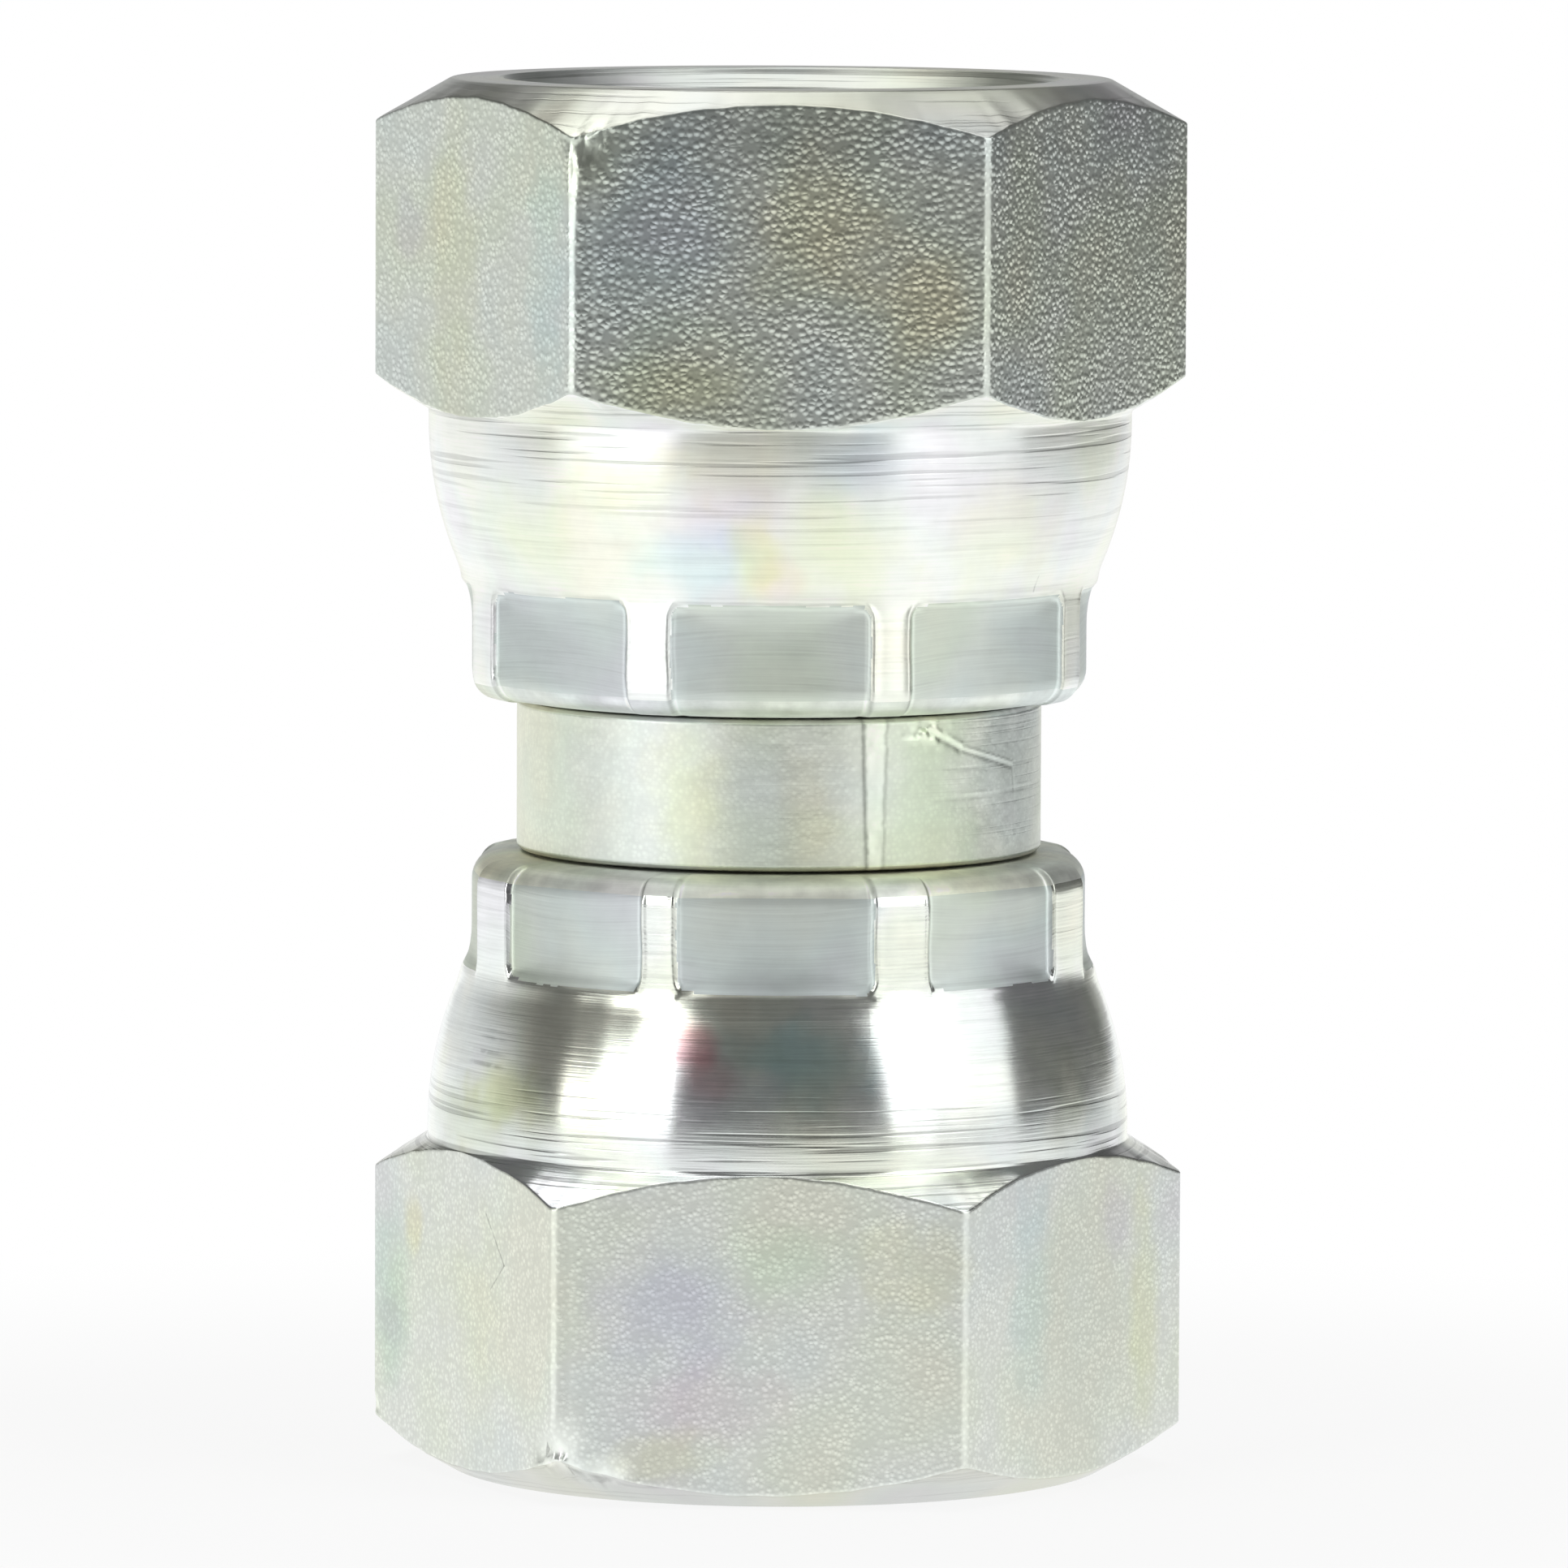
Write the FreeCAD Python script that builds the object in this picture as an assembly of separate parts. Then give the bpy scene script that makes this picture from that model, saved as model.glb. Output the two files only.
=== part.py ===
import FreeCAD, Part
import math
import os

# Straight adapter fitting: a double cone nipple with a crimped swivel nut at each end.
# Millimetres. Z runs along the axis, and the lower nut stands with its port face on Z = 0.
# A nut is drawn from its port face: its depth grows from there to its crimped end.

# Nut, outside
ACROSS_FLATS = 27.0
CORNER_TURNED_OFF = 0.09
FACE_INSET = 0.9
FACE_CHAMFER_ANGLE = 30.0
CORNER_LENGTH = 11.35
REAR_CHAMFER_ANGLE = 32.0
SHOULDER_STEP = 0.05
SHOULDER_LENGTH = 0.42
TAPER_ARC_RADIUS = 14.0
THROAT_ARC_RADIUS = 3.0
UPPER_HEX_TURN = -0.2
LOWER_HEX_TURN = -2.8

# Nut, crimped collar: the skirt keeps its wall as it is pressed in
RIDGE_HEIGHT = 0.4
CRIMP_LENGTH = 4.06
JAW_COUNT = 8
JAW_WIDTH = 7.4
JAW_FACE_RADIUS = 20.6
JAW_NOSE_RADIUS = 4.8
JAW_CORNER_RADIUS = 0.6
JAW_BITE_ON_TAPER = 0.32
JAW_END_ANGLE = 9.0
JAW_END_INSET = 0.4
END_CONE_ANGLE = 3.0
END_CONE_WIDTH = 1.75
END_ROUND = 1.0
UPPER_CRIMP_TURN = -1.8
LOWER_CRIMP_TURN = 1.0

# Nut, inside: a G 1/2 parallel pipe thread, plain here at its minor diameter
THREAD_MAJOR_DIAMETER = 20.955
THREAD_MINOR_DIAMETER = 18.631
THREAD_MOUTH_MARGIN = 0.3
THREAD_MOUTH_ANGLE = 45.0
RELIEF_CLEARANCE = 0.17
SKIRT_BORE_LENGTH = 3.4
LAND_LENGTH = 4.6

# Nipple
FLOW_BORE_DIAMETER = 12.0
BORE_CHAMFER = 0.3
COLLAR_DIAMETER = 20.1
COLLAR_LENGTH = 5.77
COLLAR_CHAMFER = 0.15
NECK_DIAMETER = 15.2
HEAD_DIAMETER = 18.3
HEAD_LENGTH = 2.0
HEAD_REAR_ANGLE = 45.0
NOSE_HALF_ANGLE = 30.0
NOSE_TIP_WALL = 1.0

# Clearances between the pieces
COLLAR_GAP = 0.1
NECK_CLEARANCE = 0.4
HEAD_CLEARANCE = 0.55
AXIAL_FLOAT = 1.0
NOSE_TO_THREAD = 1.6


def tangent(angle):
    return math.tan(math.radians(angle))


def sine(angle):
    return math.sin(math.radians(angle))


def cosine(angle):
    return math.cos(math.radians(angle))


# Nut radii
flat_radius = ACROSS_FLATS / 2
corner_radius = flat_radius / cosine(30) - CORNER_TURNED_OFF
face_radius = flat_radius - FACE_INSET
shoulder_radius = flat_radius - SHOULDER_STEP
neck_radius = NECK_DIAMETER / 2
head_radius = HEAD_DIAMETER / 2
land_radius = neck_radius + NECK_CLEARANCE
skirt_bore_radius = head_radius + HEAD_CLEARANCE
skirt_wall = shoulder_radius - skirt_bore_radius
crimp_radius = land_radius + skirt_wall
ridge_radius = crimp_radius + RIDGE_HEIGHT
end_land_radius = crimp_radius - END_CONE_WIDTH
thread_radius = THREAD_MINOR_DIAMETER / 2
mouth_radius = THREAD_MAJOR_DIAMETER / 2 + THREAD_MOUTH_MARGIN
relief_radius = THREAD_MAJOR_DIAMETER / 2 + RELIEF_CLEARANCE


def taper_angle(end_radius, throat_arc):
    """Steepest angle of the taper whose two tangent arcs drop from the shoulder to end_radius."""
    drop = shoulder_radius - end_radius
    return math.degrees(math.acos(1 - drop / (TAPER_ARC_RADIUS + throat_arc)))


# Nut depths from the port face
rear_chamfer_end = CORNER_LENGTH + (corner_radius - shoulder_radius) * tangent(REAR_CHAMFER_ANGLE)
taper_start = rear_chamfer_end + SHOULDER_LENGTH
ridge_angle = taper_angle(ridge_radius, THROAT_ARC_RADIUS)
taper_end = taper_start + (TAPER_ARC_RADIUS + THROAT_ARC_RADIUS) * sine(ridge_angle)
nut_length = taper_end + CRIMP_LENGTH
jaw_start = taper_end - JAW_BITE_ON_TAPER
land_start = nut_length - LAND_LENGTH
seat_start = land_start - (skirt_bore_radius - land_radius) / tangent(HEAD_REAR_ANGLE)
relief_end = seat_start - SKIRT_BORE_LENGTH
head_rear = seat_start + HEAD_CLEARANCE / tangent(HEAD_REAR_ANGLE) - AXIAL_FLOAT
neck_start = head_rear + (head_radius - neck_radius) / tangent(HEAD_REAR_ANGLE)
head_front = head_rear - HEAD_LENGTH
bore_radius = FLOW_BORE_DIAMETER / 2
nose_tip_radius = bore_radius + NOSE_TIP_WALL
nose_tip = head_front - (head_radius - nose_tip_radius) / tangent(NOSE_HALF_ANGLE)
thread_end = nose_tip - NOSE_TO_THREAD
mouth_depth = (mouth_radius - thread_radius) / tangent(THREAD_MOUTH_ANGLE)

# Heights of the assembly
collar_bottom = nut_length + COLLAR_GAP
collar_top = collar_bottom + COLLAR_LENGTH
overall_length = collar_top + COLLAR_GAP + nut_length

AXIS = FreeCAD.Vector(0, 0, 1)
ORIGIN = FreeCAD.Vector(0, 0, 0)


def point(radius, depth):
    return FreeCAD.Vector(radius, 0, depth)


def turned(edges):
    """Solid of revolution about Z from a closed run of edges in the XZ plane."""
    face = Part.Face(Part.Wire(edges))
    return face.revolve(ORIGIN, AXIS, 360)


def straight_edges(points):
    return [Part.LineSegment(a, b).toShape() for a, b in zip(points, points[1:])]


def taper_edges(end_radius, throat_arc):
    """Two tangent arcs: the convex one leaves the shoulder, the hollow one meets end_radius."""
    steepest = taper_angle(end_radius, throat_arc)
    half = steepest / 2
    convex_centre = shoulder_radius - TAPER_ARC_RADIUS
    start = point(shoulder_radius, taper_start)
    convex_middle = point(
        convex_centre + TAPER_ARC_RADIUS * cosine(half),
        taper_start + TAPER_ARC_RADIUS * sine(half),
    )
    turning = point(
        convex_centre + TAPER_ARC_RADIUS * cosine(steepest),
        taper_start + TAPER_ARC_RADIUS * sine(steepest),
    )
    hollow_centre = end_radius + throat_arc
    end_depth = taper_start + (TAPER_ARC_RADIUS + throat_arc) * sine(steepest)
    hollow_middle = point(
        hollow_centre - throat_arc * cosine(half),
        end_depth - throat_arc * sine(half),
    )
    end = point(end_radius, end_depth)
    return [
        Part.Arc(start, convex_middle, turning).toShape(),
        Part.Arc(turning, hollow_middle, end).toShape(),
    ]


def rounded_end(radius, land, angle):
    """Crimped end, from its wall at this radius over the round and the slight cone to the land.

    The point returned first is the round's start. The cone meets the nut's end at the land.
    """
    corner_depth = nut_length - (radius - land) * tangent(angle)
    half_turn = (90 - angle) / 2
    setback = END_ROUND * tangent(half_turn)
    round_start = point(radius, corner_depth - setback)
    centre = point(radius - END_ROUND, corner_depth - setback)
    round_middle = centre + point(cosine(half_turn), sine(half_turn)) * END_ROUND
    round_end = centre + point(cosine(2 * half_turn), sine(2 * half_turn)) * END_ROUND
    arc = Part.Arc(round_start, round_middle, round_end).toShape()
    return round_start, [arc] + straight_edges([round_end, point(land, nut_length)])


def hexagon():
    """Hexagon with both its ends chamfered and its corners turned off."""
    corners = [
        FreeCAD.Vector(
            flat_radius / cosine(30) * cosine(60 * index),
            flat_radius / cosine(30) * sine(60 * index),
            0,
        )
        for index in range(7)
    ]
    prism = Part.Face(Part.makePolygon(corners)).extrude(AXIS * rear_chamfer_end)
    face_chamfer_end = (corner_radius - face_radius) * tangent(FACE_CHAMFER_ANGLE)
    outline = [
        point(0, 0),
        point(face_radius, 0),
        point(corner_radius, face_chamfer_end),
        point(corner_radius, CORNER_LENGTH),
        point(shoulder_radius, rear_chamfer_end),
        point(0, rear_chamfer_end),
        point(0, 0),
    ]
    return prism.common(turned(straight_edges(outline)))


def ridge_stock():
    """Shoulder, taper and collar as they were before the jaws bit: the ridges keep this form."""
    taper = taper_edges(ridge_radius, THROAT_ARC_RADIUS)
    round_start, end = rounded_end(ridge_radius, end_land_radius, END_CONE_ANGLE)
    edges = straight_edges([
        point(0, rear_chamfer_end / 2),
        point(shoulder_radius, rear_chamfer_end / 2),
        point(shoulder_radius, taper_start),
    ])
    edges += taper
    edges += straight_edges([taper[-1].Vertexes[-1].Point, round_start])
    edges += end
    edges += straight_edges([
        point(end_land_radius, nut_length),
        point(0, nut_length),
        point(0, rear_chamfer_end / 2),
    ])
    return turned(edges)


def pressed_core():
    """What no jaw cuts into on the taper, down to the radius under the jaws' middles."""
    taper = taper_edges(crimp_radius, JAW_NOSE_RADIUS)
    last = taper[-1].Vertexes[-1].Point
    edges = straight_edges([
        point(0, 0),
        point(shoulder_radius, 0),
        point(shoulder_radius, taper_start),
    ])
    edges += taper
    edges += straight_edges([
        last,
        point(0, last.z),
        point(0, 0),
    ])
    return turned(edges)


def jaw_form():
    """What one jaw leaves standing: a large cylinder about its own centre, rounded at its end."""
    offset = JAW_FACE_RADIUS - crimp_radius
    land = end_land_radius + JAW_END_INSET + offset
    round_start, end = rounded_end(JAW_FACE_RADIUS, land, JAW_END_ANGLE)
    edges = straight_edges([point(0, 0), point(JAW_FACE_RADIUS, 0), round_start])
    edges += end
    edges += straight_edges([
        point(land, nut_length),
        point(land, nut_length + JAW_WIDTH),
        point(0, nut_length + JAW_WIDTH),
        point(0, 0),
    ])
    form = turned(edges)
    form.translate(FreeCAD.Vector(-offset, 0, 0))
    return form


def jaw_mark(core):
    """Metal that one crimping jaw displaced: a round-cornered print outside the jaw's form."""
    half = JAW_WIDTH / 2
    rounding = JAW_CORNER_RADIUS
    inner = end_land_radius + JAW_END_INSET / 2
    left = -half
    top = jaw_start
    corner_mid = rounding * (1 - cosine(45))
    far_end = nut_length + JAW_WIDTH

    def at(y, z):
        return FreeCAD.Vector(inner, y, z)

    edges = [
        Part.LineSegment(at(left, far_end), at(left, top + rounding)).toShape(),
        Part.Arc(
            at(left, top + rounding),
            at(left + corner_mid, top + corner_mid),
            at(left + rounding, top),
        ).toShape(),
        Part.LineSegment(at(left + rounding, top), at(half - rounding, top)).toShape(),
        Part.Arc(
            at(half - rounding, top),
            at(half - corner_mid, top + corner_mid),
            at(half, top + rounding),
        ).toShape(),
        Part.LineSegment(at(half, top + rounding), at(half, far_end)).toShape(),
        Part.LineSegment(at(half, far_end), at(left, far_end)).toShape(),
    ]
    print_block = Part.Face(Part.Wire(edges)).extrude(FreeCAD.Vector(ridge_radius, 0, 0))
    return print_block.cut(jaw_form()).cut(core)


def nut_bore():
    """Thread at its minor diameter, relief, bore for the head, seat and land, as one core."""
    return turned(straight_edges([
        point(0, -mouth_depth),
        point(mouth_radius + mouth_depth * tangent(THREAD_MOUTH_ANGLE), -mouth_depth),
        point(thread_radius, mouth_depth),
        point(thread_radius, thread_end),
        point(relief_radius, thread_end + (relief_radius - thread_radius)),
        point(relief_radius, relief_end),
        point(skirt_bore_radius, relief_end + (relief_radius - skirt_bore_radius)),
        point(skirt_bore_radius, seat_start),
        point(land_radius, land_start),
        point(land_radius, nut_length + LAND_LENGTH),
        point(0, nut_length + LAND_LENGTH),
        point(0, -mouth_depth),
    ]))


def swivel_nut(hex_turn, crimp_turn):
    """One nut with its port face on Z = 0 and its crimped end up."""
    hex_part = hexagon()
    hex_part.rotate(ORIGIN, AXIS, hex_turn)
    skirt = ridge_stock()
    core = pressed_core()
    for index in range(JAW_COUNT):
        mark = jaw_mark(core)
        mark.rotate(ORIGIN, AXIS, crimp_turn + 360 / JAW_COUNT * index - 90)
        skirt = skirt.cut(mark)
    return hex_part.fuse(skirt).cut(nut_bore()).removeSplitter()


def lower_nut():
    return swivel_nut(LOWER_HEX_TURN, LOWER_CRIMP_TURN)


def upper_nut():
    """The same nut turned over about the X axis, with its port face at the top."""
    nut = swivel_nut(-UPPER_HEX_TURN, -UPPER_CRIMP_TURN)
    nut.rotate(ORIGIN, FreeCAD.Vector(1, 0, 0), 180)
    nut.translate(AXIS * overall_length)
    return nut


def nipple():
    """One turned bar, the same above and below the middle of its collar."""
    half = [
        point(bore_radius + BORE_CHAMFER, nose_tip),
        point(nose_tip_radius, nose_tip),
        point(head_radius, head_front),
        point(head_radius, head_rear),
        point(neck_radius, neck_start),
        point(neck_radius, collar_bottom),
        point(COLLAR_DIAMETER / 2 - COLLAR_CHAMFER, collar_bottom),
        point(COLLAR_DIAMETER / 2, collar_bottom + COLLAR_CHAMFER),
    ]
    lower = [point(bore_radius, nose_tip + BORE_CHAMFER)] + half
    upper = [point(p.x, overall_length - p.z) for p in reversed(lower)]
    outline = lower + upper
    return turned(straight_edges(outline + [outline[0]]))


def main():
    os.makedirs("parts", exist_ok=True)
    pieces = {
        "nipple_body": nipple(),
        "upper_swivel_nut": upper_nut(),
        "lower_swivel_nut": lower_nut(),
    }
    for name, shape in pieces.items():
        solid = shape.Solids[0]
        assert len(shape.Solids) == 1 and solid.isValid(), name
        solid.exportStep("parts/" + name + ".step")
        print(name, round(solid.Volume, 1), "mm3", solid.BoundBox)
    print("overall length", round(overall_length, 3))
    print("threaded wall", round(mouth_depth, 3), "to", round(thread_end, 3), "from each port face")
    print("nipple", round(nose_tip, 3), "to", round(overall_length - nose_tip, 3))


main()
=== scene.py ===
import logging
import math
from dataclasses import dataclass, field
from enum import Enum

import bpy
import numpy as np
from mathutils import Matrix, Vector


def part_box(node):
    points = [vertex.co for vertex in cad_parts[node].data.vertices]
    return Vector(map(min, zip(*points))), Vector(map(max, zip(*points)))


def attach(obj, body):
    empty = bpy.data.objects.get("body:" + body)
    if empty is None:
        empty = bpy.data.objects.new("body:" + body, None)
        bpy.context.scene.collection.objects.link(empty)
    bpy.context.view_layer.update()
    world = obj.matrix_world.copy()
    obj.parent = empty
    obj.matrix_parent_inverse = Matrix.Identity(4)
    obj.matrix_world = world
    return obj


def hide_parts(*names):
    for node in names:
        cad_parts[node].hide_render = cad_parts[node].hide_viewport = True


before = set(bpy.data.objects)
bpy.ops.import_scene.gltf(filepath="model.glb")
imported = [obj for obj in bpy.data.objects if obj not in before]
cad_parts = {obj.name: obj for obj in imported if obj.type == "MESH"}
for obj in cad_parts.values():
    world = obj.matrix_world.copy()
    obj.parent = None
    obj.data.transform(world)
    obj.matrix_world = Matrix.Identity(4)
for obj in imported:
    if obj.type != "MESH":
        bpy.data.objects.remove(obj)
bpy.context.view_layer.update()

# A straight adapter fitting: a double cone nipple with a crimped swivel nut at each end.
# Sizes are millimetres until a mesh is made. Angles are degrees, counted from +X towards +Y.

MILLIMETRE = 0.001
CAMERA_SIDE = -90.0
# Rows along each rounding of a profile, and the most of a stretch that a rounding takes.
ROUNDING_ROWS = 4
MOST_SETBACK = 0.45
LOG = logging.getLogger("adapter")


def tangent(angle: float) -> float:
    """Tangent of an angle in degrees."""
    return math.tan(math.radians(angle))


def smooth_step(values: np.ndarray | float, low: float, high: float) -> np.ndarray | float:
    """Rise from 0 at low to 1 at high along 3t^2 - 2t^3.

    Args:
        values: Where the step is wanted.
        low: Value at which it starts.
        high: Value at which it is complete; it may lie below low.

    Returns:
        The step, in the shape of values.
    """
    share = np.clip((values - low) / (high - low), 0.0, 1.0)
    return share * share * (3.0 - 2.0 * share)


def smooth_min(first: np.ndarray, second: np.ndarray, width: float) -> np.ndarray:
    """Smaller of two surfaces, their crease rounded over width: min(a, b) - h^2 w / 4.

    Args:
        first: One surface.
        second: The other surface.
        width: Difference of height below which they blend.

    Returns:
        The blended surface, with h = max(w - |a - b|, 0) / w.
    """
    near = np.maximum(width - np.abs(first - second), 0.0) / width
    return np.minimum(first, second) - near * near * width / 4.0


def smooth_max(first: np.ndarray, second: np.ndarray, width: float) -> np.ndarray:
    """Larger of two surfaces with a rounded crease: minus the smooth minimum of their negatives."""
    return -smooth_min(-np.asarray(first), -np.asarray(second), width)


def bell(distance: np.ndarray, width: float) -> np.ndarray:
    """Bell curve exp(-(d / w)^2), which is 1 where the distance is 0."""
    return np.exp(-(distance / width) ** 2)


def wrapped(angles: np.ndarray, period: float = 360.0) -> np.ndarray:
    """Angles in degrees, brought to within half a period of 0."""
    return (angles + period / 2) % period - period / 2


@dataclass(frozen=True)
class Ripple:
    """Seeded value noise that makes forged and worn metal uneven."""

    seed: int
    size: int = 32

    def __call__(self, points: np.ndarray, wavelength: float) -> np.ndarray:
        """Noise from -1 to 1: random lattice values, blended trilinearly along 3t^2 - 2t^3.

        Args:
            points: Places in millimetres, with x, y and z along the last axis.
            wavelength: Lattice spacing in millimetres.

        Returns:
            One value a place.
        """
        lattice = np.random.default_rng(self.seed).uniform(-1.0, 1.0, (self.size,) * 3)
        cell = points / wavelength
        base = np.floor(cell).astype(int)
        share = smooth_step(cell - base, 0.0, 1.0)
        total = np.zeros(points.shape[:-1])
        for corner in np.ndindex(2, 2, 2):
            place = (base + corner) % self.size
            weight = np.prod(np.where(corner, share, 1.0 - share), axis=-1)
            total += weight * lattice[place[..., 0], place[..., 1], place[..., 2]]
        return total

    def layered(self, points: np.ndarray, layers: tuple) -> np.ndarray:
        """Sum of amplitude times noise, over layers of (amplitude, wavelength) in millimetres."""
        return sum(amplitude * self(points, wavelength) for amplitude, wavelength in layers)


class Zone(Enum):
    """Stretches of a profile that were made by different tools, in the order of their slots."""

    FACE = 0
    FORGED = 1
    TURNED = 2
    PRESSED = 3
    END = 4
    BORE = 5


@dataclass
class Corner:
    """One corner of a turned profile, whose sizes may differ from column to column."""

    radius: np.ndarray | float
    depth: np.ndarray | float
    rounding: np.ndarray | float = 0.0
    rows: int = 1
    zone: Zone = Zone.TURNED


@dataclass
class Profile:
    """Rows of (radius, depth), each with one entry a column, the zone after it, and its share.

    The share says how far a row's columns have gone over to a second set of angles.
    """

    columns: int
    rows: list = field(default_factory=list)
    zones: list = field(default_factory=list)
    shares: list = field(default_factory=list)
    share: float = 0.0

    def spread(self, radius: np.ndarray | float, depth: np.ndarray | float) -> np.ndarray:
        """One row of (radius, depth), with an entry for each column."""
        return np.stack([radius + np.zeros(self.columns), depth + np.zeros(self.columns)])

    def add_row(self, radius: np.ndarray, depth: np.ndarray | float, zone: Zone) -> None:
        """Append one row of points, with its present share.

        Args:
            radius: The row's radii.
            depth: Its depths.
            zone: Zone of the strip that follows it.
        """
        self.rows.append(self.spread(radius, depth))
        self.zones.append(zone)
        self.shares.append(self.share)

    def add_corners(self, corners: list) -> None:
        """Join corners by straight stretches, and round each one inside the run.

        A stretch is divided at (1 - cos(pi k / n)) / 2, closer at its ends. A rounding is the
        quadratic curve (1-t)^2 A + 2t(1-t) V + t^2 B, with A and B one setback from corner V.
        The setback takes at most MOST_SETBACK of the stretch on either side.

        Args:
            corners: The corners in order. The last one only ends the run and adds no row.
        """
        points = [self.spread(corner.radius, corner.depth) for corner in corners]
        start = points[0]
        for index, corner in enumerate(corners[:-1]):
            here, after = points[index], points[index + 1]
            ahead = corners[index + 1]
            length = np.maximum(np.hypot(*(after - here)), 1e-9)
            setback = np.minimum(ahead.rounding, MOST_SETBACK * length)
            if index + 2 < len(corners):
                beyond = points[index + 2]
                next_length = np.maximum(np.hypot(*(beyond - after)), 1e-9)
                setback = np.minimum(setback, MOST_SETBACK * next_length)
            stop = after + (here - after) * setback / length
            for step in range(corner.rows):
                share = (1.0 - math.cos(math.pi * step / corner.rows)) / 2.0
                self.add_row(*(start + (stop - start) * share), corner.zone)
            if index + 2 < len(corners) and np.max(setback) > 0.0:
                leave = after + (beyond - after) * setback / next_length
                for step in range(ROUNDING_ROWS):
                    t = step / ROUNDING_ROWS
                    curve = (1 - t) ** 2 * stop + 2 * t * (1 - t) * after + t * t * leave
                    self.add_row(*curve, corner.zone if 2 * step < ROUNDING_ROWS else ahead.zone)
                start = leave
            else:
                start = after

    def radius(self) -> np.ndarray:
        """Radii, rows by columns."""
        return np.stack(self.rows)[:, 0]

    def depth(self) -> np.ndarray:
        """Depths, rows by columns."""
        return np.stack(self.rows)[:, 1]

    def travel(self) -> np.ndarray:
        """Distance along the profile from its first row, rows by columns."""
        steps = np.hypot(*np.diff(np.stack(self.rows, axis=1), axis=1))
        return np.vstack([np.zeros((1, self.columns)), np.cumsum(steps, axis=0)])

    def slots(self) -> np.ndarray:
        """Material slot of each face, rows by columns: the value of its strip's zone."""
        return np.repeat([[zone.value] for zone in self.zones], self.columns, axis=1)


def ring_mesh(name: str, points: np.ndarray, slots: np.ndarray, finishes: dict, attributes: dict,
              inside_out: bool = False) -> bpy.types.Object:
    """Closed mesh from a grid that wraps both ways, as on a torus, in its materials.

    Vertex (i, j) is points[i, j], and face (i, j) joins it to row i + 1 and column j + 1.

    Args:
        name: Name of the object.
        points: Rows by columns by 3, in millimetres.
        slots: Material slot of each face, rows by columns.
        finishes: A material for each zone.
        attributes: Names and rows-by-columns values kept on the vertices for the materials.
        inside_out: Whether the faces are wound the other way, for a profile that runs down.

    Returns:
        The object, at the origin, with its place in its mesh.
    """
    rows, columns = points.shape[:2]
    index = np.arange(rows * columns).reshape(rows, columns)
    right = np.roll(index, -1, axis=1)
    below = np.roll(index, -1, axis=0)
    across = np.roll(right, -1, axis=0)
    corners = [index, below, across, right] if inside_out else [index, right, across, below]
    quads = np.stack(corners, axis=-1).reshape(-1, 4)
    mesh = bpy.data.meshes.new(name)
    mesh.vertices.add(rows * columns)
    mesh.vertices.foreach_set("co", (points * MILLIMETRE).astype(np.float32).ravel())
    mesh.loops.add(quads.size)
    mesh.loops.foreach_set("vertex_index", quads.astype(np.int32).ravel())
    mesh.polygons.add(len(quads))
    mesh.polygons.foreach_set("loop_start", np.arange(0, quads.size, 4, dtype=np.int32))
    mesh.polygons.foreach_set("material_index", slots.astype(np.int32).ravel())
    mesh.polygons.foreach_set("use_smooth", np.ones(len(quads), dtype=bool))
    for label, values in attributes.items():
        layer = mesh.attributes.new(label, "FLOAT", "POINT")
        layer.data.foreach_set("value", values.astype(np.float32).ravel())
    for zone in Zone:
        mesh.materials.append(finishes[zone])
    mesh.update(calc_edges=True)
    mesh.validate()
    return placed(name, mesh)


def placed(name: str, data: bpy.types.ID) -> bpy.types.Object:
    """A new object that shows a mesh, a lamp or a camera in the scene."""
    made = bpy.data.objects.new(name, data)
    bpy.context.scene.collection.objects.link(made)
    return made


def turned_points(angles: np.ndarray, radius: np.ndarray | float,
                  height: np.ndarray | float) -> np.ndarray:
    """Points (r cos a, r sin a, z) of a turned surface, for angles a in degrees."""
    x, y = radius * np.cos(np.radians(angles)), radius * np.sin(np.radians(angles))
    return np.stack(np.broadcast_arrays(x, y, height), axis=-1)


class Value:
    """A number in a shader. Each Python operator on it adds the Math node of that name."""

    def __init__(self, shader: "Shader", socket: bpy.types.NodeSocket) -> None:
        """Wrap an output socket of a node."""
        self.shader = shader
        self.socket = socket

    def _math(self, operation: str, *operands: object) -> "Value":
        """Result of one Math node."""
        sockets = dict(zip(("Value", "Value_001", "Value_002"), operands))
        return self.shader.node("ShaderNodeMath", {"operation": operation}, sockets)["Value"]

    def __add__(self, other: object) -> "Value":
        """self + other."""
        return self._math("ADD", self, other)

    __radd__ = __add__

    def __sub__(self, other: object) -> "Value":
        """self - other."""
        return self._math("SUBTRACT", self, other)

    def __rsub__(self, other: object) -> "Value":
        """other - self."""
        return self._math("SUBTRACT", other, self)

    def __mul__(self, other: object) -> "Value":
        """self * other."""
        return self._math("MULTIPLY", self, other)

    __rmul__ = __mul__

    def __truediv__(self, other: object) -> "Value":
        """self / other."""
        return self._math("DIVIDE", self, other)

    def __rtruediv__(self, other: object) -> "Value":
        """other / self."""
        return self._math("DIVIDE", other, self)

    def step(self, low: float, high: float) -> "Value":
        """Smooth rise from 0 at low to 1 at high."""
        return self.shader.node("ShaderNodeMapRange", {"interpolation_type": "SMOOTHSTEP"}, {
            "Value": self, "From Min": low, "From Max": high})["Result"]


class Outputs:
    """The outputs of one node, by identifier or name, each as a Value."""

    def __init__(self, shader: "Shader", node: bpy.types.Node) -> None:
        """Wrap a node."""
        self.shader = shader
        self.node = node

    def __getitem__(self, name: str) -> Value:
        """The output with that identifier, or else that name."""
        return Value(self.shader, Shader.find(self.node.outputs, name))


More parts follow.
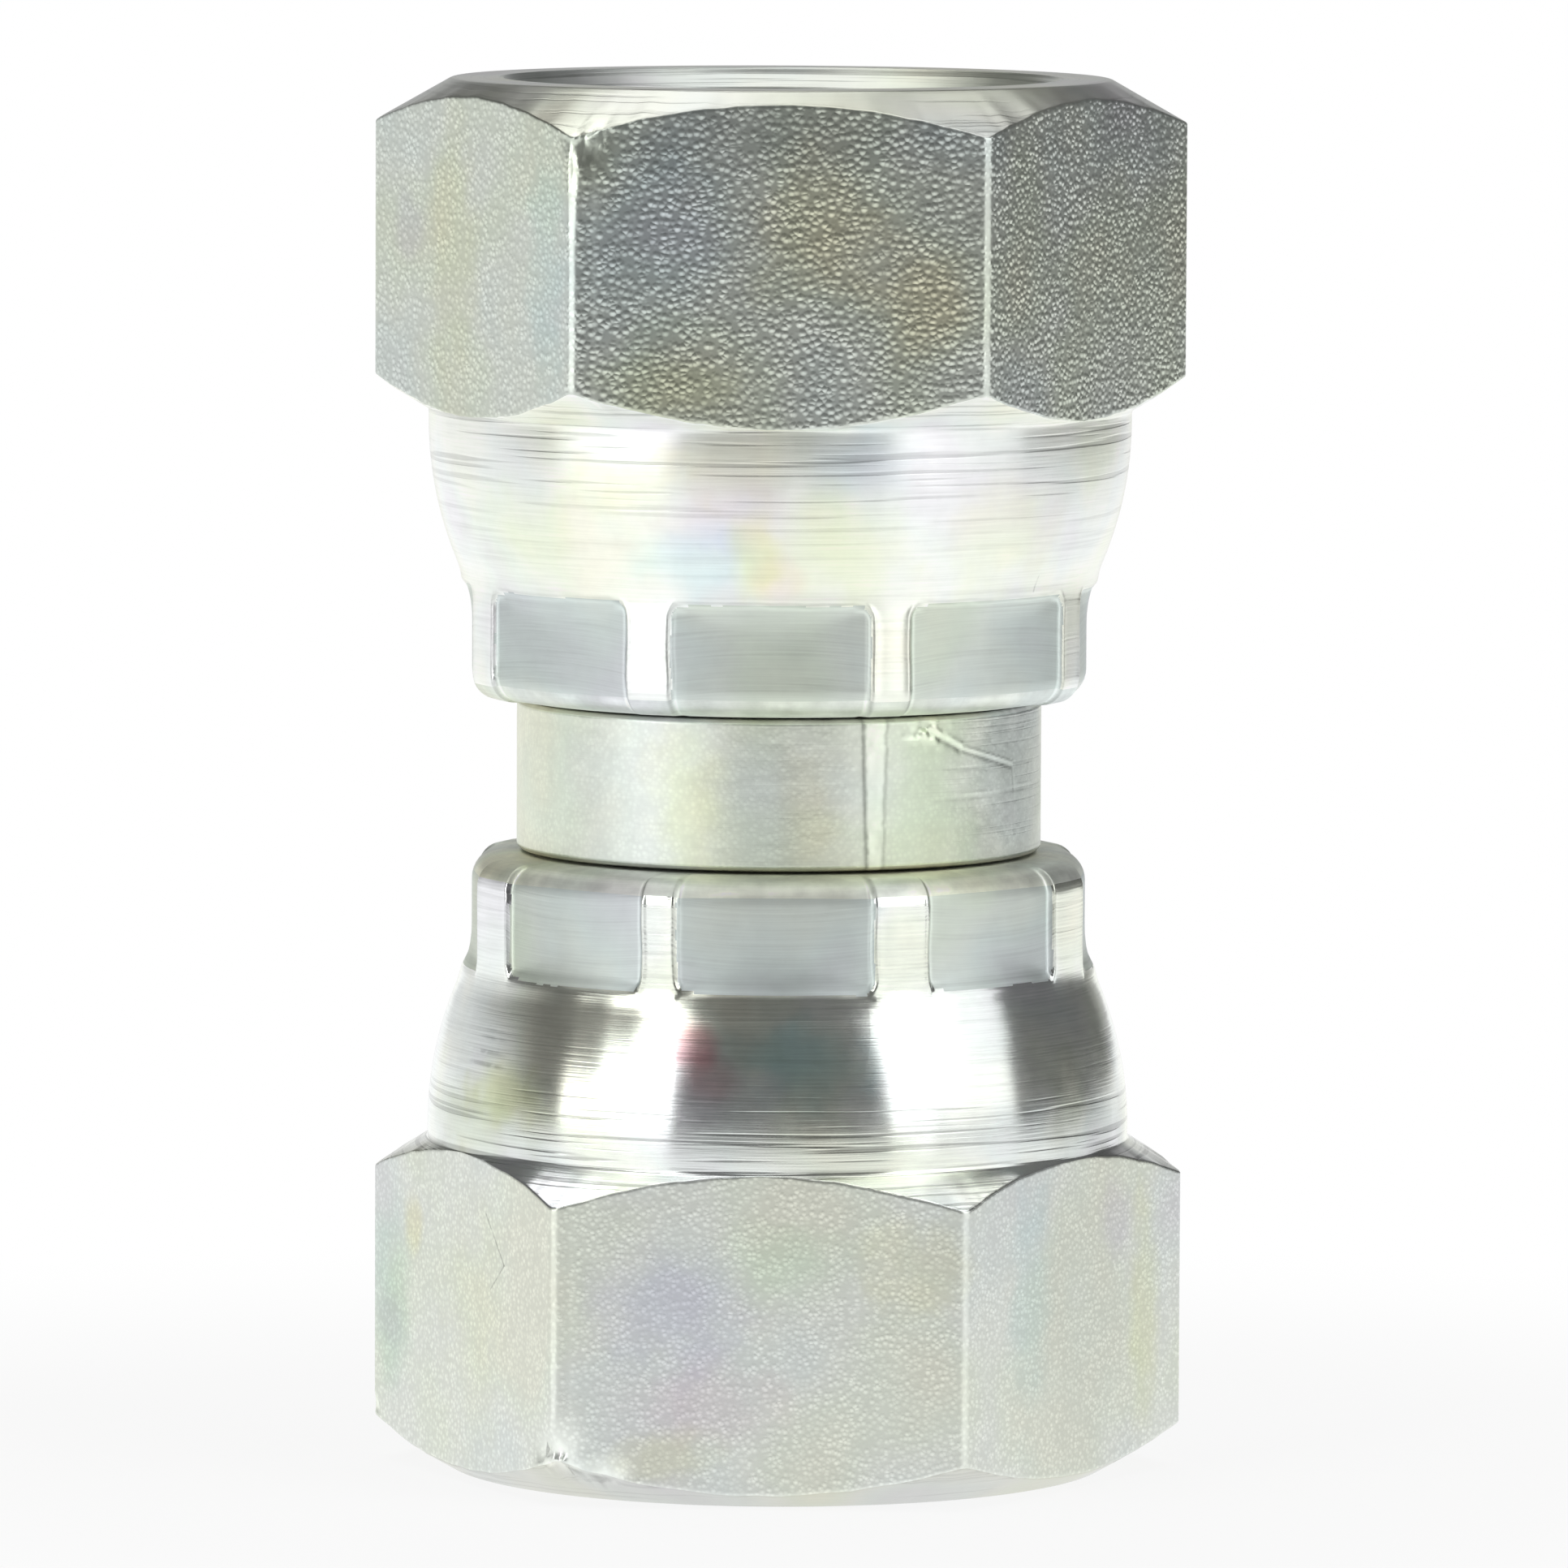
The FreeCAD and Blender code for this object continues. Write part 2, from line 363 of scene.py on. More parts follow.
class Shader:
    """Builds one node tree."""

    def __init__(self, tree: bpy.types.NodeTree) -> None:
        """Start from an empty tree."""
        self.tree = tree
        tree.nodes.clear()

    @staticmethod
    def find(sockets: object, name: str) -> bpy.types.NodeSocket:
        """The socket with that identifier, or else the first enabled one with that name."""
        exact = [socket for socket in sockets if socket.identifier == name]
        return exact[0] if exact else next(s for s in sockets if s.name == name and s.enabled)

    def node(self, kind: str, settings: dict | None = None, sockets: dict | None = None) -> Outputs:
        """Add one node.

        Args:
            kind: Its type name.
            settings: Its properties, set first. A ramp's stops are given as "stops".
            sockets: Values or links of its inputs, by identifier or name.

        Returns:
            Its outputs.
        """
        made = self.tree.nodes.new(kind)
        for name, setting in (settings or {}).items():
            if name == "stops":
                self._set_stops(made.color_ramp, setting)
            else:
                setattr(made, name, setting)
        for name, given in (sockets or {}).items():
            socket = self.find(made.inputs, name)
            if isinstance(given, Value):
                self.tree.links.new(given.socket, socket)
            else:
                socket.default_value = given
        return Outputs(self, made)

    @staticmethod
    def _set_stops(ramp: bpy.types.ColorRamp, stops: tuple) -> None:
        """Replace a ramp's stops.

        Args:
            ramp: The ramp of a node.
            stops: Pairs of position and colour, from left to right.
        """
        while len(ramp.elements) > 1:
            ramp.elements.remove(ramp.elements[-1])
        for index, (position, colour) in enumerate(stops):
            element = ramp.elements[0] if index == 0 else ramp.elements.new(position)
            element.position = position
            element.color = (*colour, 1.0)

    def noise(self, place: Value, size: float, detail: float = 2.0, roughness: float = 0.5) -> Value:
        """Noise from 0 to 1 whose features are about size millimetres across."""
        sockets = {"Vector": place, "Scale": 1.0 / size, "Detail": detail, "Roughness": roughness}
        return self.node("ShaderNodeTexNoise", {}, sockets)["Fac"]

    def vector(self, operation: str, *operands: object, scale: float = 1.0) -> Value:
        """Result of one Vector Math node."""
        sockets = dict(zip(("Vector", "Vector_001", "Vector_002"), operands)) | {"Scale": scale}
        return self.node("ShaderNodeVectorMath", {"operation": operation}, sockets)["Vector"]

    def measure(self, operation: str, *operands: object) -> Value:
        """Number from one Vector Math node, such as a length or a dot product."""
        sockets = dict(zip(("Vector", "Vector_001"), operands))
        return self.node("ShaderNodeVectorMath", {"operation": operation}, sockets)["Value"]

    def attribute(self, name: str) -> Value:
        """A number kept on the vertices."""
        return self.node("ShaderNodeAttribute", {"attribute_name": name})["Fac"]

    def blend(self, share: object, first: object, second: object, how: str = "MIX") -> Value:
        """Colour mixed from first to second by share."""
        return self.node("ShaderNodeMix", {"data_type": "RGBA", "blend_type": how}, {
            "Factor_Float": share, "A_Color": first, "B_Color": second})["Result_Color"]

    def triple(self, number: Value) -> Value:
        """A vector whose three parts are one number."""
        return self.node("ShaderNodeCombineXYZ", {}, {"X": number, "Y": number, "Z": number})["Vector"]


# Tints of the clear passivate, by the noise that stands for its thickness.
FILM_STOPS = (
    (0.30, (0.84, 0.80, 0.95)),
    (0.42, (0.90, 0.95, 1.0)),
    (0.50, (1.0, 1.0, 0.98)),
    (0.58, (0.96, 1.0, 0.86)),
    (0.68, (1.0, 0.96, 0.78)),
)
# Turn of the brushed gloss that lays it round the axis, as a share of a whole turn.
QUARTER_TURN = 0.25


@dataclass(frozen=True)
class ColourPatch:
    """A patch of another colour at a place in millimetres: most are stains in the passivate, some grey
    ones painted shade.
    """

    place: tuple
    reach: tuple
    colour: tuple
    strength: float = 0.6
    ragged: float = 1.6


@dataclass(frozen=True)
class Scratch:
    """A fine line from one place to another, lighter or darker than the metal round it."""

    start: tuple
    stop: tuple
    width: float = 0.06
    shade: float = 0.3


@dataclass(frozen=True)
class ZincFinish:
    """Zinc plating with a thin clear passivate, over steel that one tool shaped.

    The passivate's tint drifts from lavender through plain metal to yellow-green. Specks are the
    dimples that shot blasting left, with a painted highlight on their tops, and feed lines are what a
    lathe tool left round the axis, with painted shade in their cut. Sizes, feeds and heights are
    millimetres, and shades are shares of the colour.
    """

    name: str
    colour: tuple = (0.64, 0.66, 0.62)
    roughness: float = 0.3
    roughness_spread: float = 0.08
    tint: float = 0.5
    tint_size: float = 7.0
    speck_size: float = 0.27
    speck_height: float = 0.0
    speck_highlight: float = 0.0
    speck_mean: float = 0.3
    feed_height: float = 0.0
    feed: float = 0.12
    feed_shade: float = 0.0
    mottle: float = 0.08
    mottle_size: float = 1.1
    crease_shade: float = 0.5
    wear_and_sheen_lift: float = 0.35
    anisotropy: float = 0.0
    stains_and_shade: tuple = ()
    scratches: tuple = ()

    def material(self) -> bpy.types.Material:
        """Build the material.

        Colour is base x tint x (1 + mottle + specks - feed lines - crease + wear and sheen +
        scratches).
        The specks' lift and the sheen on edges are painted highlights; the feed lines and the crease at
        the prints are painted shade, and the crease also holds dirt.
        Height, in millimetres, is specks + feed lines, and goes through one Bump node.

        Returns:
            The finished material.
        """
        made = bpy.data.materials.new(self.name)
        made.use_nodes = True
        shader = Shader(made.node_tree)
        metres = shader.node("ShaderNodeTexCoord")["Object"]
        place = shader.vector("SCALE", metres, scale=1.0 / MILLIMETRE)
        film = shader.noise(place, self.tint_size, detail=2.0, roughness=0.4)
        film_colour = shader.node("ShaderNodeValToRGB", {"stops": FILM_STOPS}, {"Fac": film})["Color"]
        colour = shader.blend(self.tint, (*self.colour, 1.0), shader.blend(
            1.0, (*self.colour, 1.0), film_colour, "MULTIPLY"))
        for patch in self.stains_and_shade:
            colour = self.patched(shader, place, colour, patch)
        patches = shader.noise(place, self.mottle_size, detail=4.0, roughness=0.6) - 0.5
        wear_and_sheen = shader.attribute("wear_and_sheen")
        shade = patches * (2.0 * self.mottle) + 1.0
        # The crease takes off painted shade at the prints' walls and dirt; the wear and sheen adds real
        # wear and painted highlights on edges.
        shade = shade - shader.attribute("crease") * self.crease_shade + wear_and_sheen * self.wear_and_sheen_lift
        rough = patches * self.roughness_spread + self.roughness
        height = 0.0
        if self.speck_highlight or self.speck_height:
            specks = self.specks(shader, place) * (1.0 - wear_and_sheen)
            height = specks * self.speck_height
            # The dome tops lift the colour: a painted highlight on each dimple, over the real bump.
            shade = shade + (specks - self.speck_mean) * self.speck_highlight
        if self.feed_height:
            cut, dark = self.feed_lines(shader, place)
            height = cut + height
            shade = shade - dark
        for scratch in self.scratches:
            shade = shade + self.scratched(shader, place, scratch)
        sockets = {"Base Color": shader.vector("MULTIPLY", colour, shader.triple(shade)),
                   "Metallic": 1.0, "Roughness": rough,
                   "Anisotropic": self.anisotropy, "Anisotropic Rotation": QUARTER_TURN}
        if isinstance(height, Value):
            sockets["Normal"] = shader.node("ShaderNodeBump", {}, {
                "Height": height, "Distance": MILLIMETRE, "Strength": 1.0})["Normal"]
        surface = shader.node("ShaderNodeBsdfPrincipled", {}, sockets)["BSDF"]
        shader.node("ShaderNodeOutputMaterial", {}, {"Surface": surface})
        return made

    def specks(self, shader: Shader, place: Value) -> Value:
        """Dimples: domes 3 t^2 - 2 t^3 round scattered points, with t from 0 at 0.75 of a cell.

        A dome's height is 0.3, plus 0.4 by chance and 0.3 where they cluster, nine cells across.

        Args:
            shader: The tree to build in.
            place: Object coordinates in millimetres.

        Returns:
            The domes' height, from 0 between them to 1 on the tallest.
        """
        cells = shader.node("ShaderNodeTexVoronoi", {}, {
            "Vector": place, "Scale": 1.0 / self.speck_size})
        tall = shader.node("ShaderNodeSeparateXYZ", {}, {"Vector": cells["Color"]})["X"]
        drift = shader.noise(place, 9.0 * self.speck_size, 1.0).step(0.3, 0.65)
        return cells["Distance"].step(0.75, 0.0) * (tall * 0.4 + drift * 0.3 + 0.3)

    def feed_lines(self, shader: Shader, place: Value) -> tuple:
        """Lines round the axis: noise drawn out round it, at two feeds, deeper where scored.

        The coarse lines are the upper part of their noise, at the tool's feed. The fine ones are
        all of theirs, 2.6 times as close. Both wander by a few hundredths along the profile.

        Args:
            shader: The tree to build in.
            place: Object coordinates in millimetres.

        Returns:
            Their height in millimetres and how much painted shade in their grooves darkens the colour.
        """
        travel = shader.attribute("travel")
        scored = shader.attribute("scored")
        wander = (shader.noise(place, 9.0, 1.0) - 0.5) * 0.12
        layers = []
        for feed, spread in ((self.feed, 0.10), (self.feed / 2.6, 0.3)):
            along = shader.node("ShaderNodeCombineXYZ", {}, {"Z": (travel + wander) / feed})
            around = shader.vector("MULTIPLY_ADD", place, (spread, spread, 0.0), along["Vector"])
            layers.append(shader.noise(around, 1.0, 1.0, 0.5))
        coarse, fine = layers
        depth = scored * 0.8 + 0.2
        line = coarse.step(0.55, 0.66)
        height = (fine * 0.4 - line * depth) * self.feed_height
        # The coarse lines darken where they cut, most where scored: painted shade in the grooves.
        dark = (line * depth + (fine - 0.5) * 0.7) * self.feed_shade
        return height, dark

    @staticmethod
    def patched(shader: Shader, place: Value, colour: Value, patch: ColourPatch) -> Value:
        """Colour after one patch, stain and painted shade alike, which fades from its middle with an
        uneven edge.

        Args:
            shader: The tree to build in.
            place: Object coordinates in millimetres.
            colour: Colour before the patch.
            patch: Where it lies and how it looks.

        Returns:
            The colour after the patch.
        """
        inverse = tuple(1.0 / side for side in patch.reach)
        centred = shader.vector("SUBTRACT", place, patch.place)
        distance = shader.measure("LENGTH", shader.vector("MULTIPLY", centred, inverse))
        uneven = distance + (shader.noise(place, 1.9) - 0.5) * patch.ragged
        share = uneven.step(1.5, 0.3) * patch.strength
        return shader.blend(share, colour, (*patch.colour, 1.0), "MULTIPLY")

    @staticmethod
    def scratched(shader: Shader, place: Value, scratch: Scratch) -> Value:
        """Shade of one scratch, from the distance to its line |p - a - t(b - a)|, 0 <= t <= 1.

        Args:
            shader: The tree to build in.
            place: Object coordinates in millimetres.
            scratch: Where it runs and how it looks.

        Returns:
            What it adds to the colour's factor.
        """
        run = tuple(stop - start for start, stop in zip(scratch.start, scratch.stop))
        reach = sum(part * part for part in run)
        centred = shader.vector("SUBTRACT", place, scratch.start)
        share = shader.node("ShaderNodeMapRange", {}, {
            "Value": shader.measure("DOT_PRODUCT", centred, run), "From Max": reach})["Result"]
        foot = shader.vector("MULTIPLY", shader.triple(share), run)
        aside = shader.vector("SUBTRACT", centred, foot)
        uneven = shader.noise(place, 0.5, 1.0).step(0.3, 0.5)
        near = shader.measure("LENGTH", aside).step(scratch.width, 0.3 * scratch.width)
        return near * (uneven * 0.7 + 0.3) * scratch.shade


@dataclass(frozen=True)
class EdgeLine:
    """A line along an edge, such as dirt, wear, a lip, painted shade or a painted highlight: its
    strength, place and width.
    """

    strength: float
    outside: float
    width: float

    def __call__(self, distance: np.ndarray) -> np.ndarray:
        """Bell curve s exp(-((d - o) / w)^2) of the distance d outside the edge."""
        return self.strength * bell(distance - self.outside, self.width)


@dataclass(frozen=True)
class Dent:
    """A knock in the metal, pushed in along the radius, with its middle and its reach."""

    angle: float
    depth: float
    wide: float
    long: float
    push: float


@dataclass
class SwivelNut:
    """A hexagon nut with a tapered skirt that eight jaws crimped behind the nipple's head.

    Depths are counted from the port face. A wander or a ripple is layers of (amplitude,
    wavelength). print_edges holds (print, left, right): by how many degrees the edges of that
    print lie off the place that even jaws would give them.
    """

    name: str
    node: str
    body: str
    finishes: dict
    upside_down: bool
    hex_turn: float
    crimp_turn: float
    seed: int
    dents: tuple = ()
    print_edges: tuple = ()
    scored_depths: tuple = (18.0, 12.8)
    print_softness: float = 1.0
    trim_angle: float = -27.0
    # Painted highlights: a line on a trim ridge, a line on each corner's rounding, and glints round the
    # crimped end.
    trim_ridge_highlight: EdgeLine = EdgeLine(0.7, 0.0, 0.07)
    corner_highlight: EdgeLine = EdgeLine(0.8, 0.0, 0.13)
    end_round_glint: EdgeLine = EdgeLine(1.0, -0.55, 0.16)
    edge_sheen_ripple: tuple = ((0.25, 0.6),)
    knock_ripple: tuple = ((0.7, 0.3),)

    across_flats: float = 27.0
    corner_turned_off: float = 0.09
    corner_blend: float = 0.06
    chamfer_round: float = 0.09
    chamfer_wander: tuple = ((0.035, 0.55), (0.03, 2.1))
    face_inset: float = 0.9
    face_round: float = 0.12
    face_chamfer_angle: float = 30.0
    corner_length: float = 11.35
    rear_chamfer_angle: float = 32.0
    shoulder_step: float = 0.05
    shoulder_length: float = 0.42
    taper_arc: float = 14.0
    throat_arc: float = 3.0

    crimp_radius: float = 11.75
    ridge_height: float = 0.4
    jaws: int = 8
    jaw_width: float = 7.4
    jaw_face_radius: float = 20.6
    jaw_nose_radius: float = 4.8
    jaw_corner_radius: float = 0.6
    jaw_bite_on_taper: float = 0.32
    jaw_blend: float = 0.05
    print_wander: tuple = ((0.05, 1.3), (0.025, 0.45))
    print_wall: float = 0.2
    print_lip: EdgeLine = EdgeLine(0.03, 0.12, 0.12)
    # Painted shade in each print's wall, and a painted highlight on the fillet just inside it.
    print_wall_shade: EdgeLine = EdgeLine(0.55, 0.05, 0.075)
    print_fillet_highlight: EdgeLine = EdgeLine(0.6, -0.12, 0.08)
    end_round: float = 1.0
    end_round_reach: float = 1.12
    end_cone_angle: float = 3.0
    end_land_radius: float = 10.0
    print_cone_angle: float = 9.0
    print_end_inset: float = 0.4

    thread_major: float = 20.955
    thread_minor: float = 18.631
    thread_pitch: float = 1.814
    thread_flank: float = 27.5
    thread_rounding: float = 0.35
    thread_end: float = 9.556
    mouth_margin: float = 0.3
    mouth_blend: float = 0.05
    mouth_land: float = 0.04
    bore_round: float = 0.1
    relief_radius: float = 10.6475
    relief_end: float = 13.93
    skirt_bore_radius: float = 9.7
    seat_start: float = 17.33
    land_start: float = 19.03
    land_radius: float = 8.0
    land_round: float = 0.15

    sector_columns: int = 64
    jaw_columns: tuple = (4, 12, 16, 12, 4)
    print_edge_band: float = 0.26
    thread_rows: int = 78
    skirt_rows: tuple = (24, 22, 7)
    jaw_row_band: tuple = (-0.5, 0.8)
    crossing_end: float = 0.8
    end_rows: int = 9
    closing_rows: int = 24

    def __post_init__(self) -> None:
        """Work out the radii and depths that follow from the sizes, and seed the noises."""
        self.flat = self.across_flats / 2
        self.corner = self.flat / math.cos(math.radians(30)) - self.corner_turned_off
        self.face = self.flat - self.face_inset
        self.shoulder = self.flat - self.shoulder_step
        self.ridge = self.crimp_radius + self.ridge_height
        self.print_radius = self.ridge - self.ridge_height / 2
        self.mouth = self.thread_major / 2 + self.mouth_margin
        self.relief_start = self.thread_end + self.relief_radius - self.thread_minor / 2
        self.rear_end = self.corner_length + (self.corner - self.shoulder) * tangent(
            self.rear_chamfer_angle)
        self.taper_start = self.rear_end + self.shoulder_length
        low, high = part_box(self.node)
        self.length = (high.z - low.z) / MILLIMETRE
        self.port_height = (high.z if self.upside_down else low.z) / MILLIMETRE
        self.columns = 6 * self.sector_columns
        noises = [Ripple(self.seed + index) for index in range(5)]
        self.chamfer_noise, self.knock_noise, self.print_noise, *wear = noises
        self.corner_noise, self.streak_noise = wear

    def height(self, depth: np.ndarray) -> np.ndarray:
        """Height above the floor of a depth from the port face."""
        return self.port_height - depth if self.upside_down else self.port_height + depth

    def hex_columns(self) -> np.ndarray:
        """Column angles over the hexagon, 30(1 - u^2) from each flat's middle, close at corners.

        Returns:
            The angles, from the middle of the flat that faces the camera.
        """
        half = self.sector_columns // 2
        share = np.arange(half) / half
        rising = 30.0 * (1.0 - (1.0 - share) ** 2)
        sector = np.concatenate([rising, [30.0], 60.0 - rising[:0:-1]])
        turns = 60.0 * np.arange(6)[:, None]
        return CAMERA_SIDE + self.hex_turn + (turns + sector).ravel()

    def jaw_edges(self) -> np.ndarray:
        """Lay out the jaws' prints round the collar, with the edges that the photograph shows.

        Returns:
            The left and right edge of each print, in degrees from the camera's side.
        """
        half = math.degrees(math.asin(self.jaw_width / 2 / self.print_radius))
        middles = self.crimp_turn + 360.0 / self.jaws * np.arange(self.jaws)
        edges = np.stack([middles - half, middles + half], axis=-1)
        for index, left, right in self.print_edges:
            edges[index] += (left, right)
        return edges

    def crimp_columns(self) -> np.ndarray:
        """Column angles over the crimped collar, close together at the edges of the prints.

        Each jaw has the columns from the middle of the gap before it to the middle of the gap
        after it, and the first one goes to the middle of the print that faces the camera.

        Returns:
            The angles, one for each column over the hexagon.
        """
        near = math.degrees(self.print_edge_band / self.ridge)
        edges = self.jaw_edges()
        edges = np.vstack([edges[-1] - 360.0, edges, edges[0] + 360.0])
        knots, counts = [], []
        for before, here in zip(edges[:-1], edges[1:]):
            knots += [(before[1] + here[0]) / 2, here[0] - near, here[0] + near,
                      here[1] - near, here[1] + near]
            counts += self.jaw_columns
        places = np.concatenate([[0], np.cumsum(counts)[:-1]])
        wanted = sum(counts[:3]) - counts[2] // 2 + np.arange(self.columns)
        return CAMERA_SIDE + np.interp(wanted, places, knots)

    def hex_radius(self, angles: np.ndarray) -> np.ndarray:
        """Radius of the hexagon: flat / cos(angle from the flat), cut off at the corner radius."""
        offset = wrapped(angles - CAMERA_SIDE - self.hex_turn, 60.0)
        return smooth_min(self.flat / np.cos(np.radians(offset)), self.corner, self.corner_blend)

    def steepest_turn(self, end_radius: float, throat: float) -> float:
        """Turn, in radians, at which the taper's two arcs meet: acos(1 - drop / (R + r))."""
        return math.acos(1 - (self.shoulder - end_radius) / (self.taper_arc + throat))

    def taper(self, depth: np.ndarray, end_radius: float, throat: float) -> np.ndarray:
        """Skirt radius at a depth: a convex arc off the shoulder, then a hollow arc to end_radius.

        Both arcs are circles, tangent where the slope is steepest, so their drops add up.

        Args:
            depth: Depths from the port face.
            end_radius: Radius at which the hollow arc ends.
            throat: Radius of the hollow arc.

        Returns:
            The skirt's radii.
        """
        steepest = self.steepest_turn(end_radius, throat)
        turning = self.taper_start + self.taper_arc * math.sin(steepest)
        end = turning + throat * math.sin(steepest)
        down = np.clip(depth - self.taper_start, 0.0, self.taper_arc)
        left = np.clip(end - depth, 0.0, throat)
        convex = self.shoulder - self.taper_arc + np.sqrt(self.taper_arc ** 2 - down ** 2)
        hollow = end_radius + throat - np.sqrt(throat ** 2 - left ** 2)
        return np.where(depth < turning, convex, hollow)

    def nearest_print(self, angles: np.ndarray) -> tuple:
        """Find the jaw print that each angle is nearest to.

        Args:
            angles: Angles of the points.

        Returns:
            The angle from the middle of that print, and half of its width, in degrees.
        """
        edges = self.jaw_edges()
        middles, halves = edges.mean(axis=1), (edges[:, 1] - edges[:, 0]) / 2
        turn = wrapped(angles[..., None] - CAMERA_SIDE - middles)
        nearest = np.argmin(np.abs(turn) - halves, axis=-1)
        return np.take_along_axis(turn, nearest[..., None], axis=-1)[..., 0], halves[nearest]

    def print_distance(self, angles: np.ndarray, depth: np.ndarray) -> tuple:
        """Distance outside the nearest jaw print's round-cornered outline, negative inside it.

        The outline wanders a little, by noise, as pressed metal does.

        Args:
            angles: Angles of the points.
            depth: Their depths from the port face.

        Returns:
            The distance, and the share of it that is measured from the print's taper side.
        """
        offset, half = self.nearest_print(angles)
        side = self.print_radius * np.radians(np.abs(offset) - half) + self.jaw_corner_radius
        top = self.jaw_start() + self.jaw_corner_radius - depth
        outside = np.hypot(np.maximum(side, 0.0), np.maximum(top, 0.0))
        exact = outside + np.minimum(np.maximum(side, top), 0.0) - self.jaw_corner_radius
        places = turned_points(angles, self.ridge, depth)
        wander = self.print_noise.layered(places, self.print_wander)
        return exact + wander, smooth_step(top - side, -0.3, 0.3)

    def jaw_start(self) -> float:
        """Depth at which the jaws' marks begin on the taper."""
        run = math.sin(self.steepest_turn(self.ridge, self.throat_arc))
        return self.taper_start + (self.taper_arc + self.throat_arc) * run - self.jaw_bite_on_taper

    def jaw_face(self, angles: np.ndarray) -> np.ndarray:
        """Radius under the jaws: c cos a + sqrt(R^2 - c^2 sin^2 a), a circle R about offset c.

        Args:
            angles: Angles of the points.

        Returns:
            The radii that the jaws' faces leave.
        """
        offset = np.radians(self.nearest_print(angles)[0])
        centre = self.crimp_radius - self.jaw_face_radius
        return centre * np.cos(offset) + np.sqrt(
            self.jaw_face_radius ** 2 - (centre * np.sin(offset)) ** 2)

    def skirt_radius(self, angles: np.ndarray, depth: np.ndarray) -> np.ndarray:
        """Taper and collar: ridge form, less the print where a jaw bit, plus a lip round it.

        On the taper a print's wall is wider and its lip half as high as beside it.

        Args:
            angles: Angles of the points.
            depth: Their depths from the port face.

        Returns:
            Their radii.
        """
        ridge = self.taper(depth, self.ridge, self.throat_arc)
        core = self.taper(depth, self.crimp_radius, self.jaw_nose_radius)
        pressed = smooth_max(core, self.jaw_face(angles), self.jaw_blend)
        distance, above = self.print_distance(angles, depth)
        wall = self.print_wall * (1.0 + self.print_softness * above)
        inside = smooth_step(distance / wall, 0.5, -0.5)
        lip = self.print_lip(distance) * (1.0 - 0.5 * above)
        lip *= smooth_step(depth, self.jaw_start() - 1.0, self.jaw_start() + 0.2)
        return ridge - inside * np.maximum(ridge - pressed, 0.0) + lip

    def crease(self, angles: np.ndarray, depth: np.ndarray) -> np.ndarray:
        """Painted shade along a print's wall, less a painted highlight on the fillet inside it, both
        fainter above it.

        Args:
            angles: Angles of the points.
            depth: Their depths from the port face.

        Returns:
            The share of painted shade, negative where the fillet's painted highlight lies.
        """
        distance, above = self.print_distance(angles, depth)
        dark = self.print_wall_shade(distance) * (1.0 - above * min(self.print_softness / 3.0, 1.0))
        light = self.print_fillet_highlight(distance) * (1.0 - 0.5 * above)
        start = smooth_step(depth, self.jaw_start() - 1.2, self.jaw_start() - 0.3)
        stop = smooth_step(depth, self.length, self.length - 0.4)
        return (dark - light) * start * stop

    def add_end(self, profile: Profile, crimped: np.ndarray) -> np.ndarray:
        """Add the crimped end: wall, round and slight cone, each column from its own radius.

        The round is (r - R + R cos t, c + R sin t), with t from 0 to 90 degrees less the cone's
        angle. Where a jaw bit, the cone is steeper and ends farther out.

        Args:
            profile: The profile to add to.
            crimped: Column angles.

        Returns:
            The radius, column by column, at which the cone meets the nut's flat end.
        """
        bitten = self.print_distance(crimped, self.length)[0]
        inside = smooth_step(bitten, 0.15, -0.15)
        angle = self.end_cone_angle + (self.print_cone_angle - self.end_cone_angle) * inside
        land = self.end_land_radius + self.print_end_inset * inside
        rim = self.skirt_radius(crimped, self.length)
        corner = self.length - (rim - land) * np.tan(np.radians(angle))
        start = corner - self.end_round * np.tan(np.radians((90.0 - angle) / 2))
        for step in range(self.end_rows):
            turn = np.radians((90.0 - angle) * step / (self.end_rows - 1))
            zone = Zone.TURNED if step < 2 else Zone.END
            profile.add_row(rim - self.end_round * (1.0 - np.cos(turn)),
                            start + self.end_round * np.sin(turn), zone)
        return land

    def thread_radius(self, angles: np.ndarray, height: float) -> np.ndarray:
        """Right-hand 55 degree thread: a triangular wave of z / pitch - a / 360, rounded off.

        Args:
            angles: Angles of the points.
            height: Their height above the floor.

        Returns:
            Their radii.
        """
        phase = (height - self.port_height) / self.thread_pitch - angles / 360.0
        wave = np.abs(phase % 1.0 - 0.5) * 2.0
        sharp = self.thread_pitch / 2 / tangent(self.thread_flank)
        depth = (self.thread_major - self.thread_minor) / 2
        rise = smooth_max((wave - 0.5) * sharp + depth / 2, 0.0, self.thread_rounding * depth)
        return self.thread_minor / 2 + smooth_min(rise, depth, self.thread_rounding * depth)

    def add_thread(self, profile: Profile, hexed: np.ndarray) -> None:
        """Add the rows from the relief up through the thread to its chamfered mouth.

        Args:
            profile: The profile to add to.
            hexed: Column angles.
        """
        for depth in np.linspace(self.relief_start, 0.0, self.thread_rows):
            thread = self.thread_radius(hexed, self.height(depth))
            run_out = self.thread_minor / 2 + depth - self.thread_end
            thread = smooth_max(thread, run_out, self.mouth_blend)
            thread = smooth_max(thread, self.mouth - depth, self.mouth_blend)
            profile.add_row(np.minimum(thread, self.relief_radius), depth, Zone.BORE)

